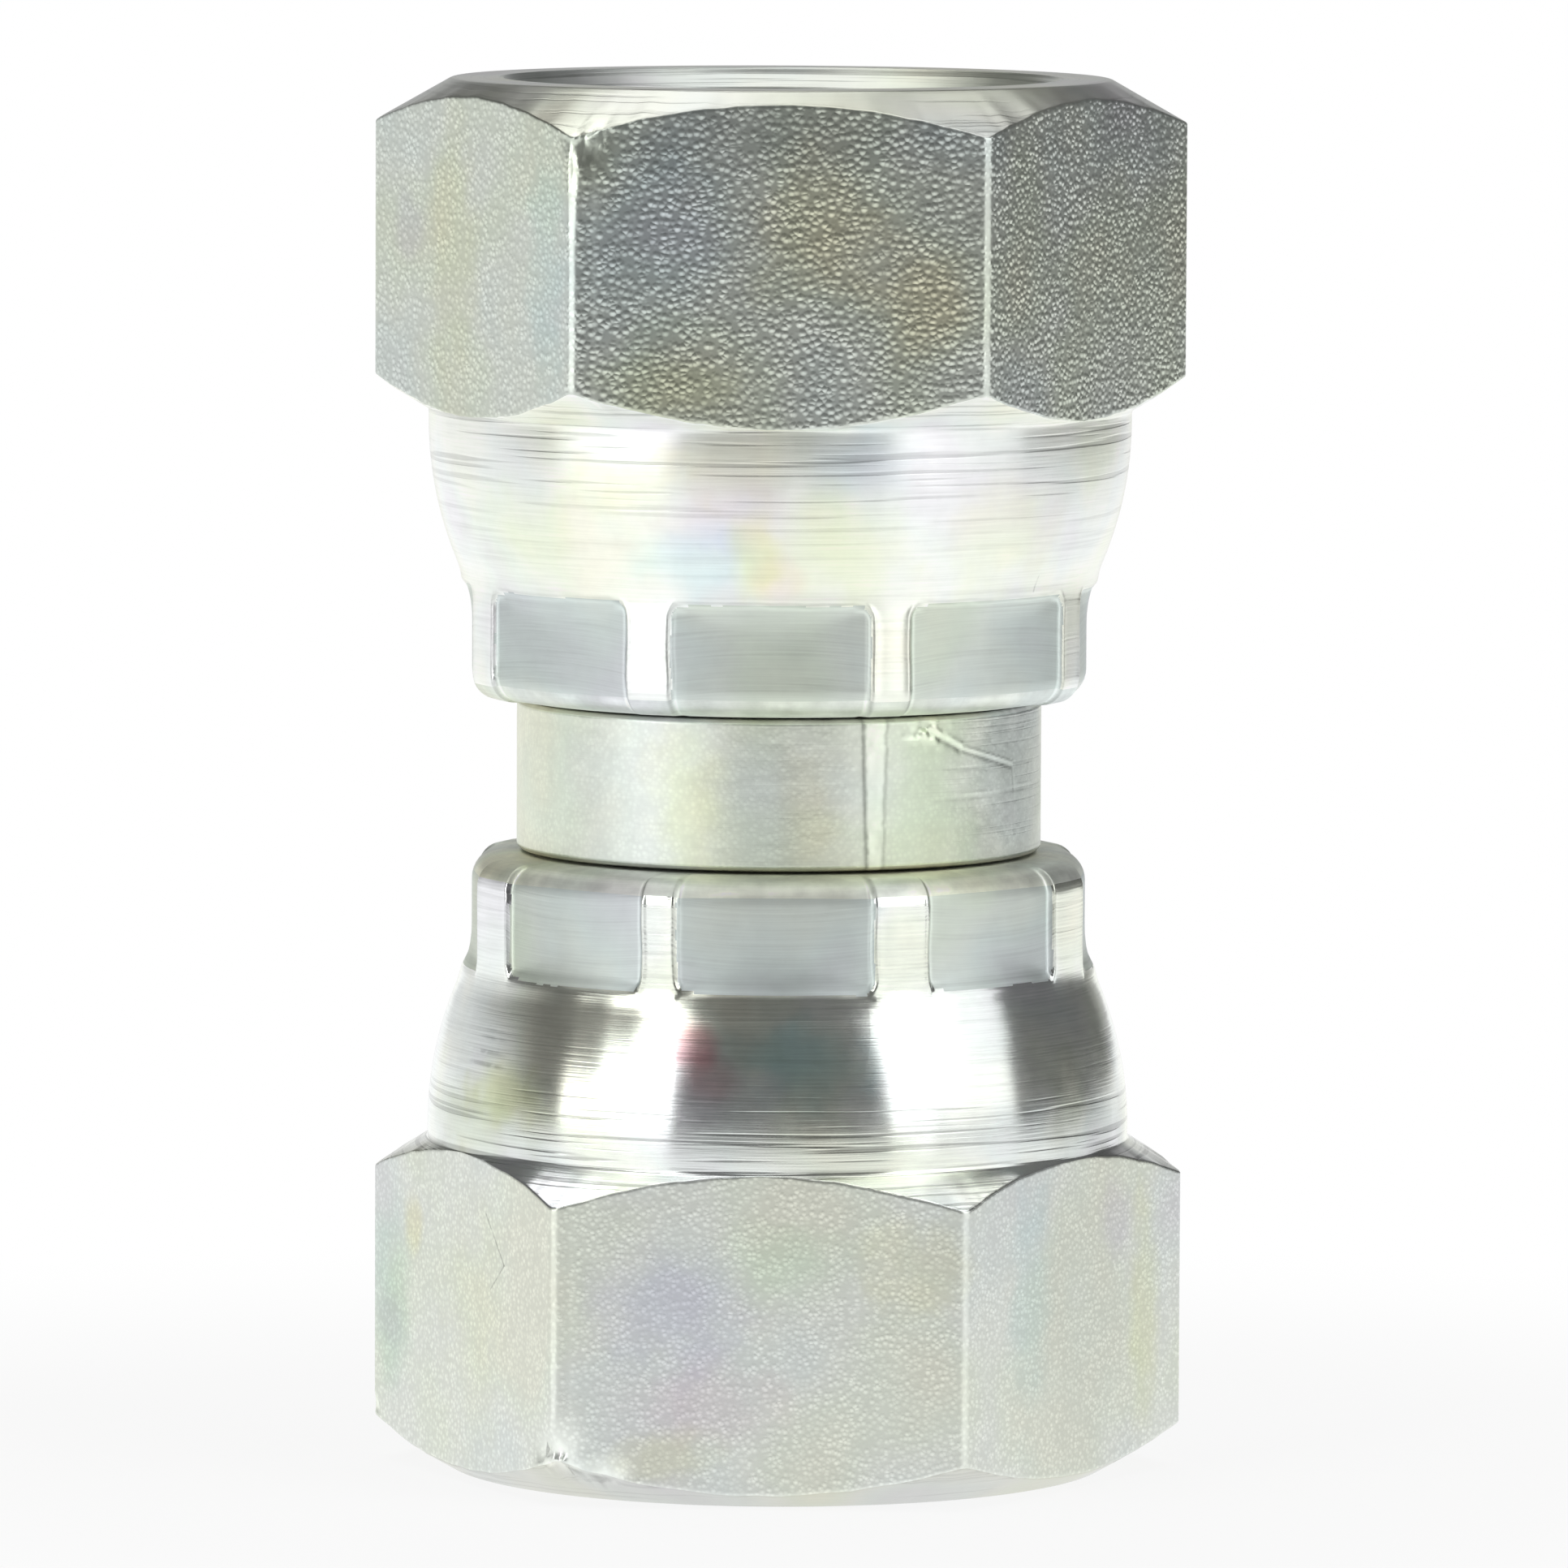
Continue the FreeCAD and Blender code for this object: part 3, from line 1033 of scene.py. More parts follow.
    def add_hexagon(self, profile: Profile, hexed: np.ndarray) -> None:
        """Add the port face, the hexagon between its two turned chamfers, and the shoulder.

        Args:
            profile: The profile to add to.
            hexed: Column angles.
        """
        hexagon = self.hex_radius(hexed)
        front_wander, rear_wander = self.boundary_wander(hexed)
        front = (hexagon - self.face) * tangent(self.face_chamfer_angle) + front_wander
        rear = self.corner_length + (self.corner - hexagon) * tangent(self.rear_chamfer_angle)
        profile.add_corners([
            Corner(self.mouth + self.mouth_land, 0.0, 0.0, 4, Zone.FACE),
            Corner(self.face, 0.0, self.face_round, 5, Zone.FACE),
            Corner(hexagon, front, self.chamfer_round, 22, Zone.FORGED),
            Corner(hexagon, rear + rear_wander, self.chamfer_round, 6, Zone.TURNED),
            Corner(self.shoulder, self.rear_end, self.face_round, 2, Zone.TURNED),
            Corner(self.shoulder, self.taper_start),
        ])

    def add_skirt(self, profile: Profile, hexed: np.ndarray, crimped: np.ndarray) -> None:
        """Add the taper and the collar, close together where the prints begin.

        Down the taper the columns go over from the hexagon's angles to the collar's.

        Args:
            profile: The profile to add to.
            hexed: Column angles over the hexagon.
            crimped: Column angles over the crimped collar.
        """
        jaw = self.jaw_start()
        close, wide = (jaw + edge for edge in self.jaw_row_band)
        above, across, below = self.skirt_rows
        depths = np.concatenate([
            np.linspace(self.taper_start, close, above, endpoint=False),
            np.linspace(close, wide, across, endpoint=False),
            np.linspace(wide, self.length - self.end_round_reach, below),
        ])
        for depth in depths:
            profile.share = float(smooth_step(depth, self.taper_start, jaw - self.crossing_end))
            angles = hexed + (crimped - hexed) * profile.share
            profile.add_row(self.skirt_radius(angles, depth), depth, Zone.TURNED)

    def add_inside(self, profile: Profile, land: np.ndarray) -> None:
        """Add the flat end, the land that traps the head, the skirt's bore and the relief.

        Args:
            profile: The profile to add to.
            land: Radius, column by column, at which the crimped end becomes flat.
        """
        skirt_bore_start = self.relief_end + self.relief_radius - self.skirt_bore_radius
        profile.add_corners([
            Corner(land, self.length, 0.0, 4, Zone.END),
            Corner(self.land_radius, self.length, self.land_round, 5, Zone.BORE),
            Corner(self.land_radius, self.land_start, self.bore_round, 3, Zone.BORE),
            Corner(self.skirt_bore_radius, self.seat_start, self.bore_round, 3, Zone.BORE),
            Corner(self.skirt_bore_radius, skirt_bore_start, self.bore_round, 2, Zone.BORE),
            Corner(self.relief_radius, self.relief_end, self.bore_round, 3, Zone.BORE),
            Corner(self.relief_radius, self.relief_start),
        ])

    def build_profile(self, hexed: np.ndarray, crimped: np.ndarray) -> Profile:
        """Lay the rows from the relief out through the thread, over the outside and back.

        Args:
            hexed: Column angles over the hexagon.
            crimped: Column angles over the crimped collar.

        Returns:
            The profile, whose shares are those of the crimped columns.
        """
        profile = Profile(self.columns)
        self.add_thread(profile, hexed)
        self.add_hexagon(profile, hexed)
        self.add_skirt(profile, hexed, crimped)
        self.add_inside(profile, self.add_end(profile, crimped))
        return profile

    def boundary_wander(self, angles: np.ndarray) -> list:
        """Small drift, in depth, of the two lines where the chamfers cut the forged flats."""
        lines = [turned_points(angles, self.flat, apart) for apart in (0.0, 50.0)]
        return [self.chamfer_noise.layered(line, self.chamfer_wander) for line in lines]

    def knocked(self, angles: np.ndarray, radius: np.ndarray, depth: np.ndarray) -> tuple:
        """Press the dents in: each takes push x exp(-distance^2), uneven by its own noise.

        The metal is rubbed a little farther out, by 1.4 exp(-1.5 distance^2), up to 1.

        Args:
            angles: Angles of the points.
            radius: Their radii.
            depth: Their depths from the port face.

        Returns:
            The radii after the dents, and the shares of rubbed and of dirty metal in them.
        """
        places = turned_points(angles, radius, depth)
        uneven = 1.0 + self.knock_noise.layered(places, self.knock_ripple)
        rubbed = np.zeros(np.shape(radius))
        for dent in self.dents:
            turn = wrapped(angles - CAMERA_SIDE - dent.angle)
            sideways = np.radians(turn) * radius / dent.wide
            distance = sideways ** 2 + ((depth - dent.depth) / dent.long) ** 2
            radius = radius - dent.push * uneven * np.exp(-distance)
            rubbed = rubbed + 1.4 * np.exp(-1.5 * distance)
        rubbed = np.clip(rubbed, 0.0, 1.0)
        return radius, rubbed * np.clip(uneven, 0.0, 1.0), rubbed * np.clip(1.2 - uneven, 0.0, 1.0)

    def wear_and_sheen(self, angles: np.ndarray, radius: np.ndarray, depth: np.ndarray) -> np.ndarray:
        """Share of painted highlight: lines on each corner, on a trim ridge beside one of them, and
        glints round the end.

        Args:
            angles: Angles of the points.
            radius: Their radii.
            depth: Their depths from the port face.

        Returns:
            The share, from 0 to 1, uneven by noise.
        """
        turn = angles - CAMERA_SIDE - self.hex_turn
        from_corner = np.radians(turn % 60.0 - 30.0) * self.corner
        from_trim = np.radians(wrapped(turn) - self.trim_angle) * self.corner
        places = turned_points(angles, radius, depth)
        uneven = 0.75 + self.corner_noise.layered(places, self.edge_sheen_ripple)
        lines = np.clip(self.corner_highlight(from_corner) + self.trim_ridge_highlight(from_trim), 0.0, 1.0)
        on_hexagon = radius > self.hex_radius(angles) - 0.2
        streaks = np.clip(self.streak_noise(places * (0.5, 0.5, 1.0), 0.5), 0.0, 1.0)
        on_end = self.end_round_glint(depth - self.length) * (radius > self.land_radius + 1.0)
        return lines * uneven * on_hexagon + streaks * on_end

    def build(self) -> bpy.types.Object:
        """Make the nut's mesh, dress it and let it ride.

        Over the last rows, in the bore, the columns go back to the hexagon's angles, so that the
        grid closes up.

        Returns:
            The piece that stands for the CAD nut.
        """
        hexed, crimped = self.hex_columns(), self.crimp_columns()
        profile = self.build_profile(hexed, crimped)
        shares = np.array(profile.shares)
        shares[-self.closing_rows:] *= 1.0 - np.arange(1, self.closing_rows + 1) / self.closing_rows
        angles = hexed + (crimped - hexed) * shares[:, None]
        radius, depth, slots = profile.radius(), profile.depth(), profile.slots()
        outside = slots != Zone.BORE.value
        dented, rubbed, dirty = self.knocked(angles, radius, depth)
        radius = np.where(outside, dented, radius)
        points = turned_points(angles, radius, self.height(depth))
        pressed = self.print_distance(angles, depth)[0] < 0.0
        slots = np.where((slots == Zone.TURNED.value) & pressed, Zone.PRESSED.value, slots)
        attributes = {
            "travel": depth - radius,
            "scored": smooth_step(depth, *self.scored_depths),
            "wear_and_sheen": np.clip(self.wear_and_sheen(angles, radius, depth) + rubbed, 0.0, 1.0),
            # Painted shade and highlight along the prints, and dirt in the dents.
            "crease": np.where(outside, self.crease(angles, depth) + dirty, 0.0),
        }
        piece = ring_mesh(self.name, points, slots, self.finishes, attributes, self.upside_down)
        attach(piece, self.body)
        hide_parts(self.node)
        return piece


@dataclass(frozen=True)
class Score:
    """A mark drawn across the nipple's collar, from one (angle, height) to another."""

    start: tuple
    stop: tuple
    width: float
    cut: float
    burr: float = 0.0


@dataclass
class Nipple:
    """The turned bar between the nuts: a collar, and each way a neck, a head and a cone nose.

    Angles on its collar are counted from the camera's side, towards the right.
    """

    finishes: dict
    name: str = "double_cone_nipple"
    node: str = "nipple_body"
    body: str = "nipple"

    bore_radius: float = 6.0
    bore_chamfer: float = 0.3
    collar_radius: float = 10.05
    collar_length: float = 5.77
    collar_chamfer: float = 0.15
    neck_radius: float = 7.6
    head_radius: float = 9.15
    head_length: float = 2.0
    nose_tip_radius: float = 7.0
    neck_start: float = 18.43
    head_rear: float = 16.88

    strip: tuple = (18.7, 23.4)
    nick: tuple = (33.7, 28.95)
    scores: tuple = (
        Score((33.7, 28.95), (43.2, 28.15), 0.12, 0.035, 0.03),
        Score((43.2, 28.15), (62.0, 27.3), 0.06, 0.022, 0.016),
        Score((62.0, 27.3), (62.7, 26.4), 0.05, 0.018, 0.012),
        Score((62.7, 26.4), (62.9, 24.8), 0.04, 0.008, 0.0),
        Score((35.8, 26.3), (81.0, 26.5), 0.04, 0.012, 0.008),
        Score((38.0, 27.5), (52.0, 27.35), 0.04, 0.008, 0.0),
    )
    close_sector: tuple = (14.0, 74.0)
    close_spacing: float = 0.35
    wide_columns: int = 100
    scored_side: tuple = (30.0, 42.0)
    scored_until: tuple = (100.0, 80.0)

    pitting: float = 0.004
    strip_proud: float = 0.022
    strip_pitting: float = 0.012
    strip_slant: float = 0.03
    strip_wander: float = 0.03
    strip_edge: float = 0.1
    strip_dirt: EdgeLine = EdgeLine(0.8, 0.0, 0.08)
    nick_reach: tuple = (0.8, 0.5)
    # Chipping along the collar's top edge, whose colour is also lifted by a painted highlight.
    top_chipping_and_sheen: EdgeLine = EdgeLine(1.0, 0.0, 0.16)
    top_loss: float = 0.025
    bottom_wear: EdgeLine = EdgeLine(1.0, 0.0, 0.1)
    fine_noise: Ripple = Ripple(11)
    broad_noise: Ripple = Ripple(12)

    def __post_init__(self) -> None:
        """Find the collar's height from the frame."""
        low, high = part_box(self.node)
        self.nose_tip = low.z / MILLIMETRE
        self.middle = (low.z + high.z) / 2 / MILLIMETRE
        self.collar_bottom = self.middle - self.collar_length / 2
        self.collar_top = self.collar_bottom + self.collar_length
        self.head_front = self.head_rear - self.head_length

    def column_angles(self) -> np.ndarray:
        """Columns that are close together over the marked sector and 3 degrees apart elsewhere.

        Returns:
            Their angles from the camera's side.
        """
        first, last = self.close_sector
        close = np.arange(first, last, self.close_spacing)
        wide = np.linspace(last, first + 360.0, self.wide_columns, endpoint=False)
        return np.concatenate([close, wide])

    def build_profile(self, columns: int) -> Profile:
        """Lay the rows up the bore's chamfer, over the lower nose, the collar and the upper nose.

        The upper half is the lower one turned over, so each of its stretches has the rows and the
        zone of the stretch that ends at the same corner below.

        Args:
            columns: Number of columns.

        Returns:
            The profile.
        """
        profile = Profile(columns)
        top = 2 * self.middle
        half = [
            Corner(self.bore_radius, self.nose_tip + self.bore_chamfer, 0.05, 2, Zone.BORE),
            Corner(self.bore_radius + self.bore_chamfer, self.nose_tip, 0.05, 2, Zone.FACE),
            Corner(self.nose_tip_radius, self.nose_tip, 0.15, 5, Zone.FACE),
            Corner(self.head_radius, self.head_front, 0.15, 3, Zone.FACE),
            Corner(self.head_radius, self.head_rear, 0.15, 3, Zone.FACE),
            Corner(self.neck_radius, self.neck_start, 0.3, 5, Zone.FACE),
            Corner(self.neck_radius, self.collar_bottom, 0.3, 4, Zone.FACE),
            Corner(self.collar_radius - self.collar_chamfer, self.collar_bottom, 0.08, 4, Zone.FACE),
            Corner(self.collar_radius, self.collar_bottom + self.collar_chamfer, 0.1, 90, Zone.TURNED),
        ]
        upper = []
        for index in range(len(half) - 1, -1, -1):
            corner = half[index]
            before = half[index - 1] if index else Corner(0, 0, 0, 6, Zone.BORE)
            upper.append(Corner(corner.radius, top - corner.depth, corner.rounding, before.rows,
                                before.zone))
        profile.add_corners(half + upper + [half[0]])
        return profile

    def around(self, angle: np.ndarray | float) -> np.ndarray | float:
        """Distance round the collar of an angle from the camera's side."""
        return np.radians(angle) * self.collar_radius

    def drawn(self, score: Score, x: np.ndarray, y: np.ndarray) -> tuple:
        """One score: it takes cut x exp(-d^2 / w^2) at distance d, and heaps a burr beside it.

        Args:
            score: The score.
            x: Distances round the collar.
            y: Heights.

        Returns:
            The change of radius, the share of dirt beside it and the share of rubbed metal.
        """
        x0, x1 = self.around(score.start[0]), self.around(score.stop[0])
        y0, y1 = score.start[1], score.stop[1]
        run = math.hypot(x1 - x0, y1 - y0)
        along = ((x - x0) * (x1 - x0) + (y - y0) * (y1 - y0)) / run
        aside = ((y - y0) * (x1 - x0) - (x - x0) * (y1 - y0)) / run
        ends = smooth_step(along, -0.1, 0.1) * smooth_step(along, run + 0.1, run - 0.1)
        groove = score.cut * ends * bell(aside, score.width)
        burr = score.burr * ends * bell(aside - 1.6 * score.width, score.width)
        heavy = score.cut / 0.05 * ends
        dirt = heavy * bell(aside + 0.5 * score.width, 0.08)
        return burr - groove, dirt, heavy * bell(aside - score.width, 0.1)

    def marked(self, angles: np.ndarray, radius: np.ndarray, height: np.ndarray) -> tuple:
        """Radius of the collar after its witness strip, its nick and its scores.

        The strip stands a little proud between its two edges. The nick is a ragged pit.

        Args:
            angles: Column angles from the camera's side.
            radius: Radii before the marks.
            height: Heights of the same points.

        Returns:
            The radii after them, the share of dirt in them, and the share of rubbed metal and of
            painted highlight on the top edge.
        """
        x = self.around(angles)
        places = turned_points(angles, radius, height)
        uneven = self.fine_noise(places, 0.28)
        broad = self.broad_noise(places, 0.9)
        slant = self.strip_slant * (height - self.middle)
        left = x - (self.around(self.strip[0]) - slant + self.strip_wander * broad)
        right = x - (self.around(self.strip[1]) + slant + self.strip_wander * uneven)
        band = smooth_step(left, 0.0, self.strip_edge) * smooth_step(right, self.strip_edge, 0.0)
        change = self.pitting * uneven + band * (self.strip_proud + self.strip_pitting * uneven)
        dirt = self.strip_dirt(left) + self.strip_dirt(right)
        rubbed = 0.5 * band
        for score in self.scores:
            moved, dirtied, shone = self.drawn(score, x, height)
            change, dirt, rubbed = change + moved, dirt + dirtied, rubbed + shone
        wide, high = self.nick_reach
        aside, above = x - self.around(self.nick[0]), height - self.nick[1]
        pit = np.exp(-(aside / wide) ** 2 - (above / high) ** 2)
        # The top edge is chipped back, and its colour lifted by a painted highlight along its chamfer.
        chips_and_sheen = self.top_chipping_and_sheen(height - self.collar_top) * np.clip(uneven + 0.2, 0.0, 1.0)
        change = change + pit * (0.1 * uneven - 0.05) - self.top_loss * chips_and_sheen
        rubbed = rubbed + 1.5 * pit * np.clip(0.5 + uneven * 1.6, 0.0, 1.0)
        rubbed = rubbed + chips_and_sheen + self.bottom_wear(height - self.collar_bottom)
        on_collar = radius > self.collar_radius - self.collar_chamfer - 0.01
        kept = [np.where(on_collar, np.clip(share, 0.0, 1.0), 0.0) for share in (dirt, rubbed)]
        return radius + np.where(on_collar, change, 0.0), *kept

    def build(self) -> bpy.types.Object:
        """Make the nipple's mesh, dress it and let it ride.

        Returns:
            The piece that stands for the CAD nipple.
        """
        columns = self.column_angles()
        profile = self.build_profile(len(columns))
        angles = columns[None, :] + np.zeros((len(profile.rows), 1))
        radius, dirt, rubbed = self.marked(angles, profile.radius(), profile.depth())
        points = turned_points(CAMERA_SIDE + angles, radius, profile.depth())
        ringed = smooth_step(angles, *self.scored_side) * smooth_step(angles, *self.scored_until)
        attributes = {"travel": profile.travel(), "scored": ringed, "wear_and_sheen": rubbed, "crease": dirt}
        piece = ring_mesh(self.name, points, profile.slots(), self.finishes, attributes)
        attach(piece, self.body)
        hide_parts(self.node)
        return piece


@dataclass(frozen=True)
class SoftBox:
    """A soft lamp, by the degrees it covers to the camera's right and above the floor."""

    name: str
    sides: tuple
    rises: tuple
    radiance: float


@dataclass
class Studio:
    """A pale floor, soft boxes on both sides and overhead, and the camera.

    Places are millimetres. Up to the first of two distances the floor is white paper, or takes
    the object's shadow, and past the second it is a grey table, or takes none.
    """

    elevation: float = 5.195
    distance: float = 520.0
    focus_pixels: float = 16704.0
    image_pixels: float = 1932.0
    sensor: float = 36.0
    aim: tuple = (0.2, 0.0, 26.16)
    roll: float = 0.24

    floor_reach: float = 3000.0
    floor_rings: tuple = (0.0004, 0.05, 0.2, 0.5, 1.0)
    floor_columns: int = 96
    paper_front: tuple = (200.0, 520.0)
    paper_right: tuple = (345.0, 465.0)
    paper_white: float = 0.95
    table_grey: float = 0.16
    shadow_reach: tuple = (28.0, 70.0)
    shadow_depth: float = 0.15
    room_light: float = 0.13
    backdrop_light: float = 0.6
    backdrop_way: tuple = (-0.75, 0.66)
    backdrop_side: tuple = (0.1, 0.6)
    backdrop_back: tuple = (-0.1, 0.4)
    backdrop_top: tuple = (0.42, 0.08)
    lamp_distance: float = 600.0
    soft_boxes: tuple = (
        SoftBox("left_inner_box", (-43.0, -35.0), (1.0, 54.0), 2.3),
        SoftBox("left_second_box", (-52.0, -43.0), (1.0, 36.0), 2.2),
        SoftBox("left_third_box", (-63.0, -52.0), (1.0, 23.0), 2.2),
        SoftBox("left_outer_box", (-76.0, -63.0), (1.0, 13.0), 2.2),
        SoftBox("right_inner_box", (37.0, 54.0), (1.0, 48.0), 1.7),
        SoftBox("right_second_box", (54.0, 67.0), (1.0, 50.0), 1.15),
        SoftBox("right_outer_box", (67.0, 85.0), (1.0, 17.0), 1.1),
        SoftBox("right_upper_box", (66.0, 90.0), (18.0, 40.0), 1.0),
        SoftBox("left_upper_box", (-96.0, -66.0), (34.0, 52.0), 0.3),
        SoftBox("front_upper_box", (-24.0, 24.0), (46.0, 64.0), 0.28),
        SoftBox("top_left_box", (182.0, 216.0), (50.0, 66.0), 1.9),
        SoftBox("top_right_box", (144.0, 157.0), (47.0, 60.0), 1.5),
        SoftBox("overhead_box", (145.0, 215.0), (73.0, 106.0), 1.4),
    )

    def build_camera(self) -> None:
        """Set the camera on the photograph's line of sight, with its roll about that line."""
        lens = bpy.data.cameras.new("camera")
        lens.sensor_width = self.sensor
        lens.lens = self.focus_pixels / self.image_pixels * self.sensor
        lens.clip_start, lens.clip_end = 0.01, 20.0
        camera = placed("camera", lens)
        rise = math.radians(self.elevation)
        back = np.array([0.0, -math.cos(rise), math.sin(rise)])
        camera.location = (np.array(self.aim) + self.distance * back) * MILLIMETRE
        camera.rotation_euler = (math.pi / 2 - rise, 0.0, 0.0)
        camera.rotation_euler.rotate_axis("Z", math.radians(self.roll))
        bpy.context.scene.camera = camera

    def build_floor(self) -> None:
        """Lay a flat disc whose look to the camera is white, less the object's shadow."""
        turn = np.linspace(0.0, 360.0, self.floor_columns, endpoint=False)
        rings = np.array(self.floor_rings)[:, None] * self.floor_reach * MILLIMETRE
        places = turned_points(turn, rings, 0.0)
        index = np.arange(places[..., 0].size).reshape(places.shape[:2])
        inner, outer = index[:-1], index[1:]
        faces = np.stack([inner, outer, np.roll(outer, -1, 1), np.roll(inner, -1, 1)], -1)
        mesh = bpy.data.meshes.new("floor")
        mesh.from_pydata(places.reshape(-1, 3).tolist(), [],
                         faces.reshape(-1, 4).tolist() + [index[0].tolist()])
        mesh.materials.append(self.floor_material())
        floor = placed("floor", mesh)

    def floor_material(self) -> bpy.types.Material:
        """White paper near the object, a darker table beyond its edges, white to the camera.

        The camera sees the paper's own light, and near the object also the shadow on it.

        Returns:
            The floor's material.
        """
        made = bpy.data.materials.new("floor")
        made.use_nodes = True
        shader = Shader(made.node_tree)
        metres = shader.node("ShaderNodeTexCoord")["Object"]
        place = shader.vector("SCALE", metres, scale=1.0 / MILLIMETRE)
        axes = shader.node("ShaderNodeSeparateXYZ", {}, {"Vector": place})
        near_edge, far_edge = self.paper_front
        front = axes["Y"].step(-far_edge, -near_edge)
        near_edge, far_edge = self.paper_right
        side = axes["X"].step(far_edge, near_edge)
        path = shader.node("ShaderNodeLightPath")
        mirrored = path["Is Glossy Ray"] + path["Is Transmission Ray"]
        seen = path["Is Camera Ray"]
        white = seen + mirrored * front * side
        far = shader.measure("LENGTH", place).step(*self.shadow_reach)
        table, paper = ((grey,) * 3 + (1.0,) for grey in (self.table_grey, self.paper_white))
        colour = shader.blend(white, table, paper)
        lit = shader.node("ShaderNodeBsdfDiffuse", {}, {"Color": colour})["BSDF"]
        glow = shader.node("ShaderNodeEmission", {}, {"Color": (1.0,) * 4, "Strength": 1.0})
        surface = shader.node("ShaderNodeMixShader", {}, {
            "Fac": white * (1.0 - seen * (1.0 - far) * self.shadow_depth), "Shader": lit,
            "Shader_001": glow["Emission"]})["Shader"]
        shader.node("ShaderNodeOutputMaterial", {}, {"Surface": surface})
        return made

    def build_lamp(self, box: SoftBox) -> None:
        """Hang one soft box as an area lamp of power pi x area x radiance that faces the object.

        Args:
            box: The soft box.
        """
        away = self.lamp_distance * MILLIMETRE
        turn, up = (math.radians((first + last) / 2) for first, last in (box.sides, box.rises))
        light = bpy.data.lights.new(box.name, "AREA")
        light.shape = "RECTANGLE"
        light.size = 2 * away * tangent((box.sides[1] - box.sides[0]) / 2)
        light.size_y = 2 * away * tangent((box.rises[1] - box.rises[0]) / 2)
        light.energy = math.pi * light.size * light.size_y * box.radiance
        lamp = placed(box.name, light)
        way = np.array([math.sin(turn) * math.cos(up), -math.cos(turn) * math.cos(up), math.sin(up)])
        lamp.location = np.array([0.0, 0.0, self.aim[2] * MILLIMETRE]) + away * way
        lamp.rotation_euler = (math.pi / 2 - up, 0.0, turn)
        lamp.visible_camera = False

    def build_world(self) -> None:
        """Surround the object with a dim room and a pale backdrop, and be white to the camera.

        The backdrop stands behind and to the left, and fades out above the object.
        """
        world = bpy.data.worlds.new("studio")
        bpy.context.scene.world = world
        world.use_nodes = True
        shader = Shader(world.node_tree)
        way = shader.node("ShaderNodeTexCoord")["Generated"]
        axes = shader.node("ShaderNodeSeparateXYZ", {}, {"Vector": way})
        across, back = self.backdrop_way
        side = (axes["X"] * across + axes["Y"] * back).step(*self.backdrop_side)
        behind = side * axes["Y"].step(*self.backdrop_back) * axes["Z"].step(*self.backdrop_top)
        light = behind * self.backdrop_light + self.room_light
        seen = shader.node("ShaderNodeLightPath")["Is Camera Ray"]
        strength = seen + (1.0 - seen) * light
        colour = shader.node("ShaderNodeBackground", {}, {"Color": (1.0,) * 4, "Strength": strength})
        shader.node("ShaderNodeOutputWorld", {}, {"Surface": colour["Background"]})

    def build(self) -> None:
        """Build the floor, the lamps, the world and the camera."""
        self.build_floor()
        for box in self.soft_boxes:
            self.build_lamp(box)
        self.build_world()
        self.build_camera()
        bpy.context.scene.view_settings.view_transform = "Standard"


def nut_finishes(prefix: str, forged: ZincFinish, turned: ZincFinish, end_colour: tuple) -> dict:
    """Materials of one nut, by zone.

    Args:
        prefix: Start of the materials' names.
        forged: Finish of its blasted hexagon.
        turned: Finish of its turned skirt.
        end_colour: Colour of its crimped end.

    Returns:
        A material for each zone.
    """
    looks = {
        Zone.FACE: ZincFinish(prefix + "_faced", roughness=0.3, feed_height=0.006, feed=0.1,
                              feed_shade=0.12, colour=(0.64, 0.65, 0.60)),
        Zone.FORGED: forged,
        Zone.TURNED: turned,
        Zone.PRESSED: ZincFinish(prefix + "_pressed", colour=(0.70, 0.75, 0.71), roughness=0.52,
                                 feed_height=0.006, feed=0.16, feed_shade=0.25, anisotropy=0.3),
        Zone.END: ZincFinish(prefix + "_end", colour=end_colour, roughness=0.5,
                             feed_height=0.006, feed=0.14, feed_shade=0.15, mottle=0.3),
        Zone.BORE: ZincFinish(prefix + "_bore", colour=(0.68, 0.70, 0.65), roughness=0.36,
                              feed_height=0.003, feed=0.12, feed_shade=0.3),
    }
    return {zone: look.material() for zone, look in looks.items()}


UPPER_FORGED = ZincFinish(
    "upper_forged", colour=(0.70, 0.74, 0.68), roughness=0.31, speck_size=0.24,
    speck_height=0.022, speck_highlight=0.42,
    stains_and_shade=(
        ColourPatch((-5.0, -13.5, 47.6), (2.6, 2.0, 5.0), (0.88, 0.94, 1.0)),
        # A greyer band along the top of the front face: painted shade, darker at the top.
        ColourPatch((0.0, -13.5, 51.6), (7.5, 2.0, 1.5), (0.80, 0.81, 0.84), 0.9),
        ColourPatch((1.0, -13.5, 48.2), (2.4, 2.0, 2.4), (1.0, 0.95, 0.84), 0.8),
        ColourPatch((5.3, -13.5, 45.4), (1.6, 2.0, 2.2), (1.0, 0.94, 0.82), 0.8),
        ColourPatch((-4.1, -13.5, 42.1), (2.4, 2.0, 1.2), (0.98, 0.97, 0.84), 0.8),
        ColourPatch((-12.4, -5.5, 47.0), (1.3, 2.2, 4.5), (1.0, 0.98, 0.88), 0.8),
        ColourPatch((-14.1, -2.6, 47.6), (0.8, 1.4, 1.2), (0.93, 0.90, 1.0), 0.8),
        ColourPatch((-8.8, -11.8, 47.5), (0.9, 1.6, 4.5), (0.90, 0.98, 1.0), 0.8),
    ))

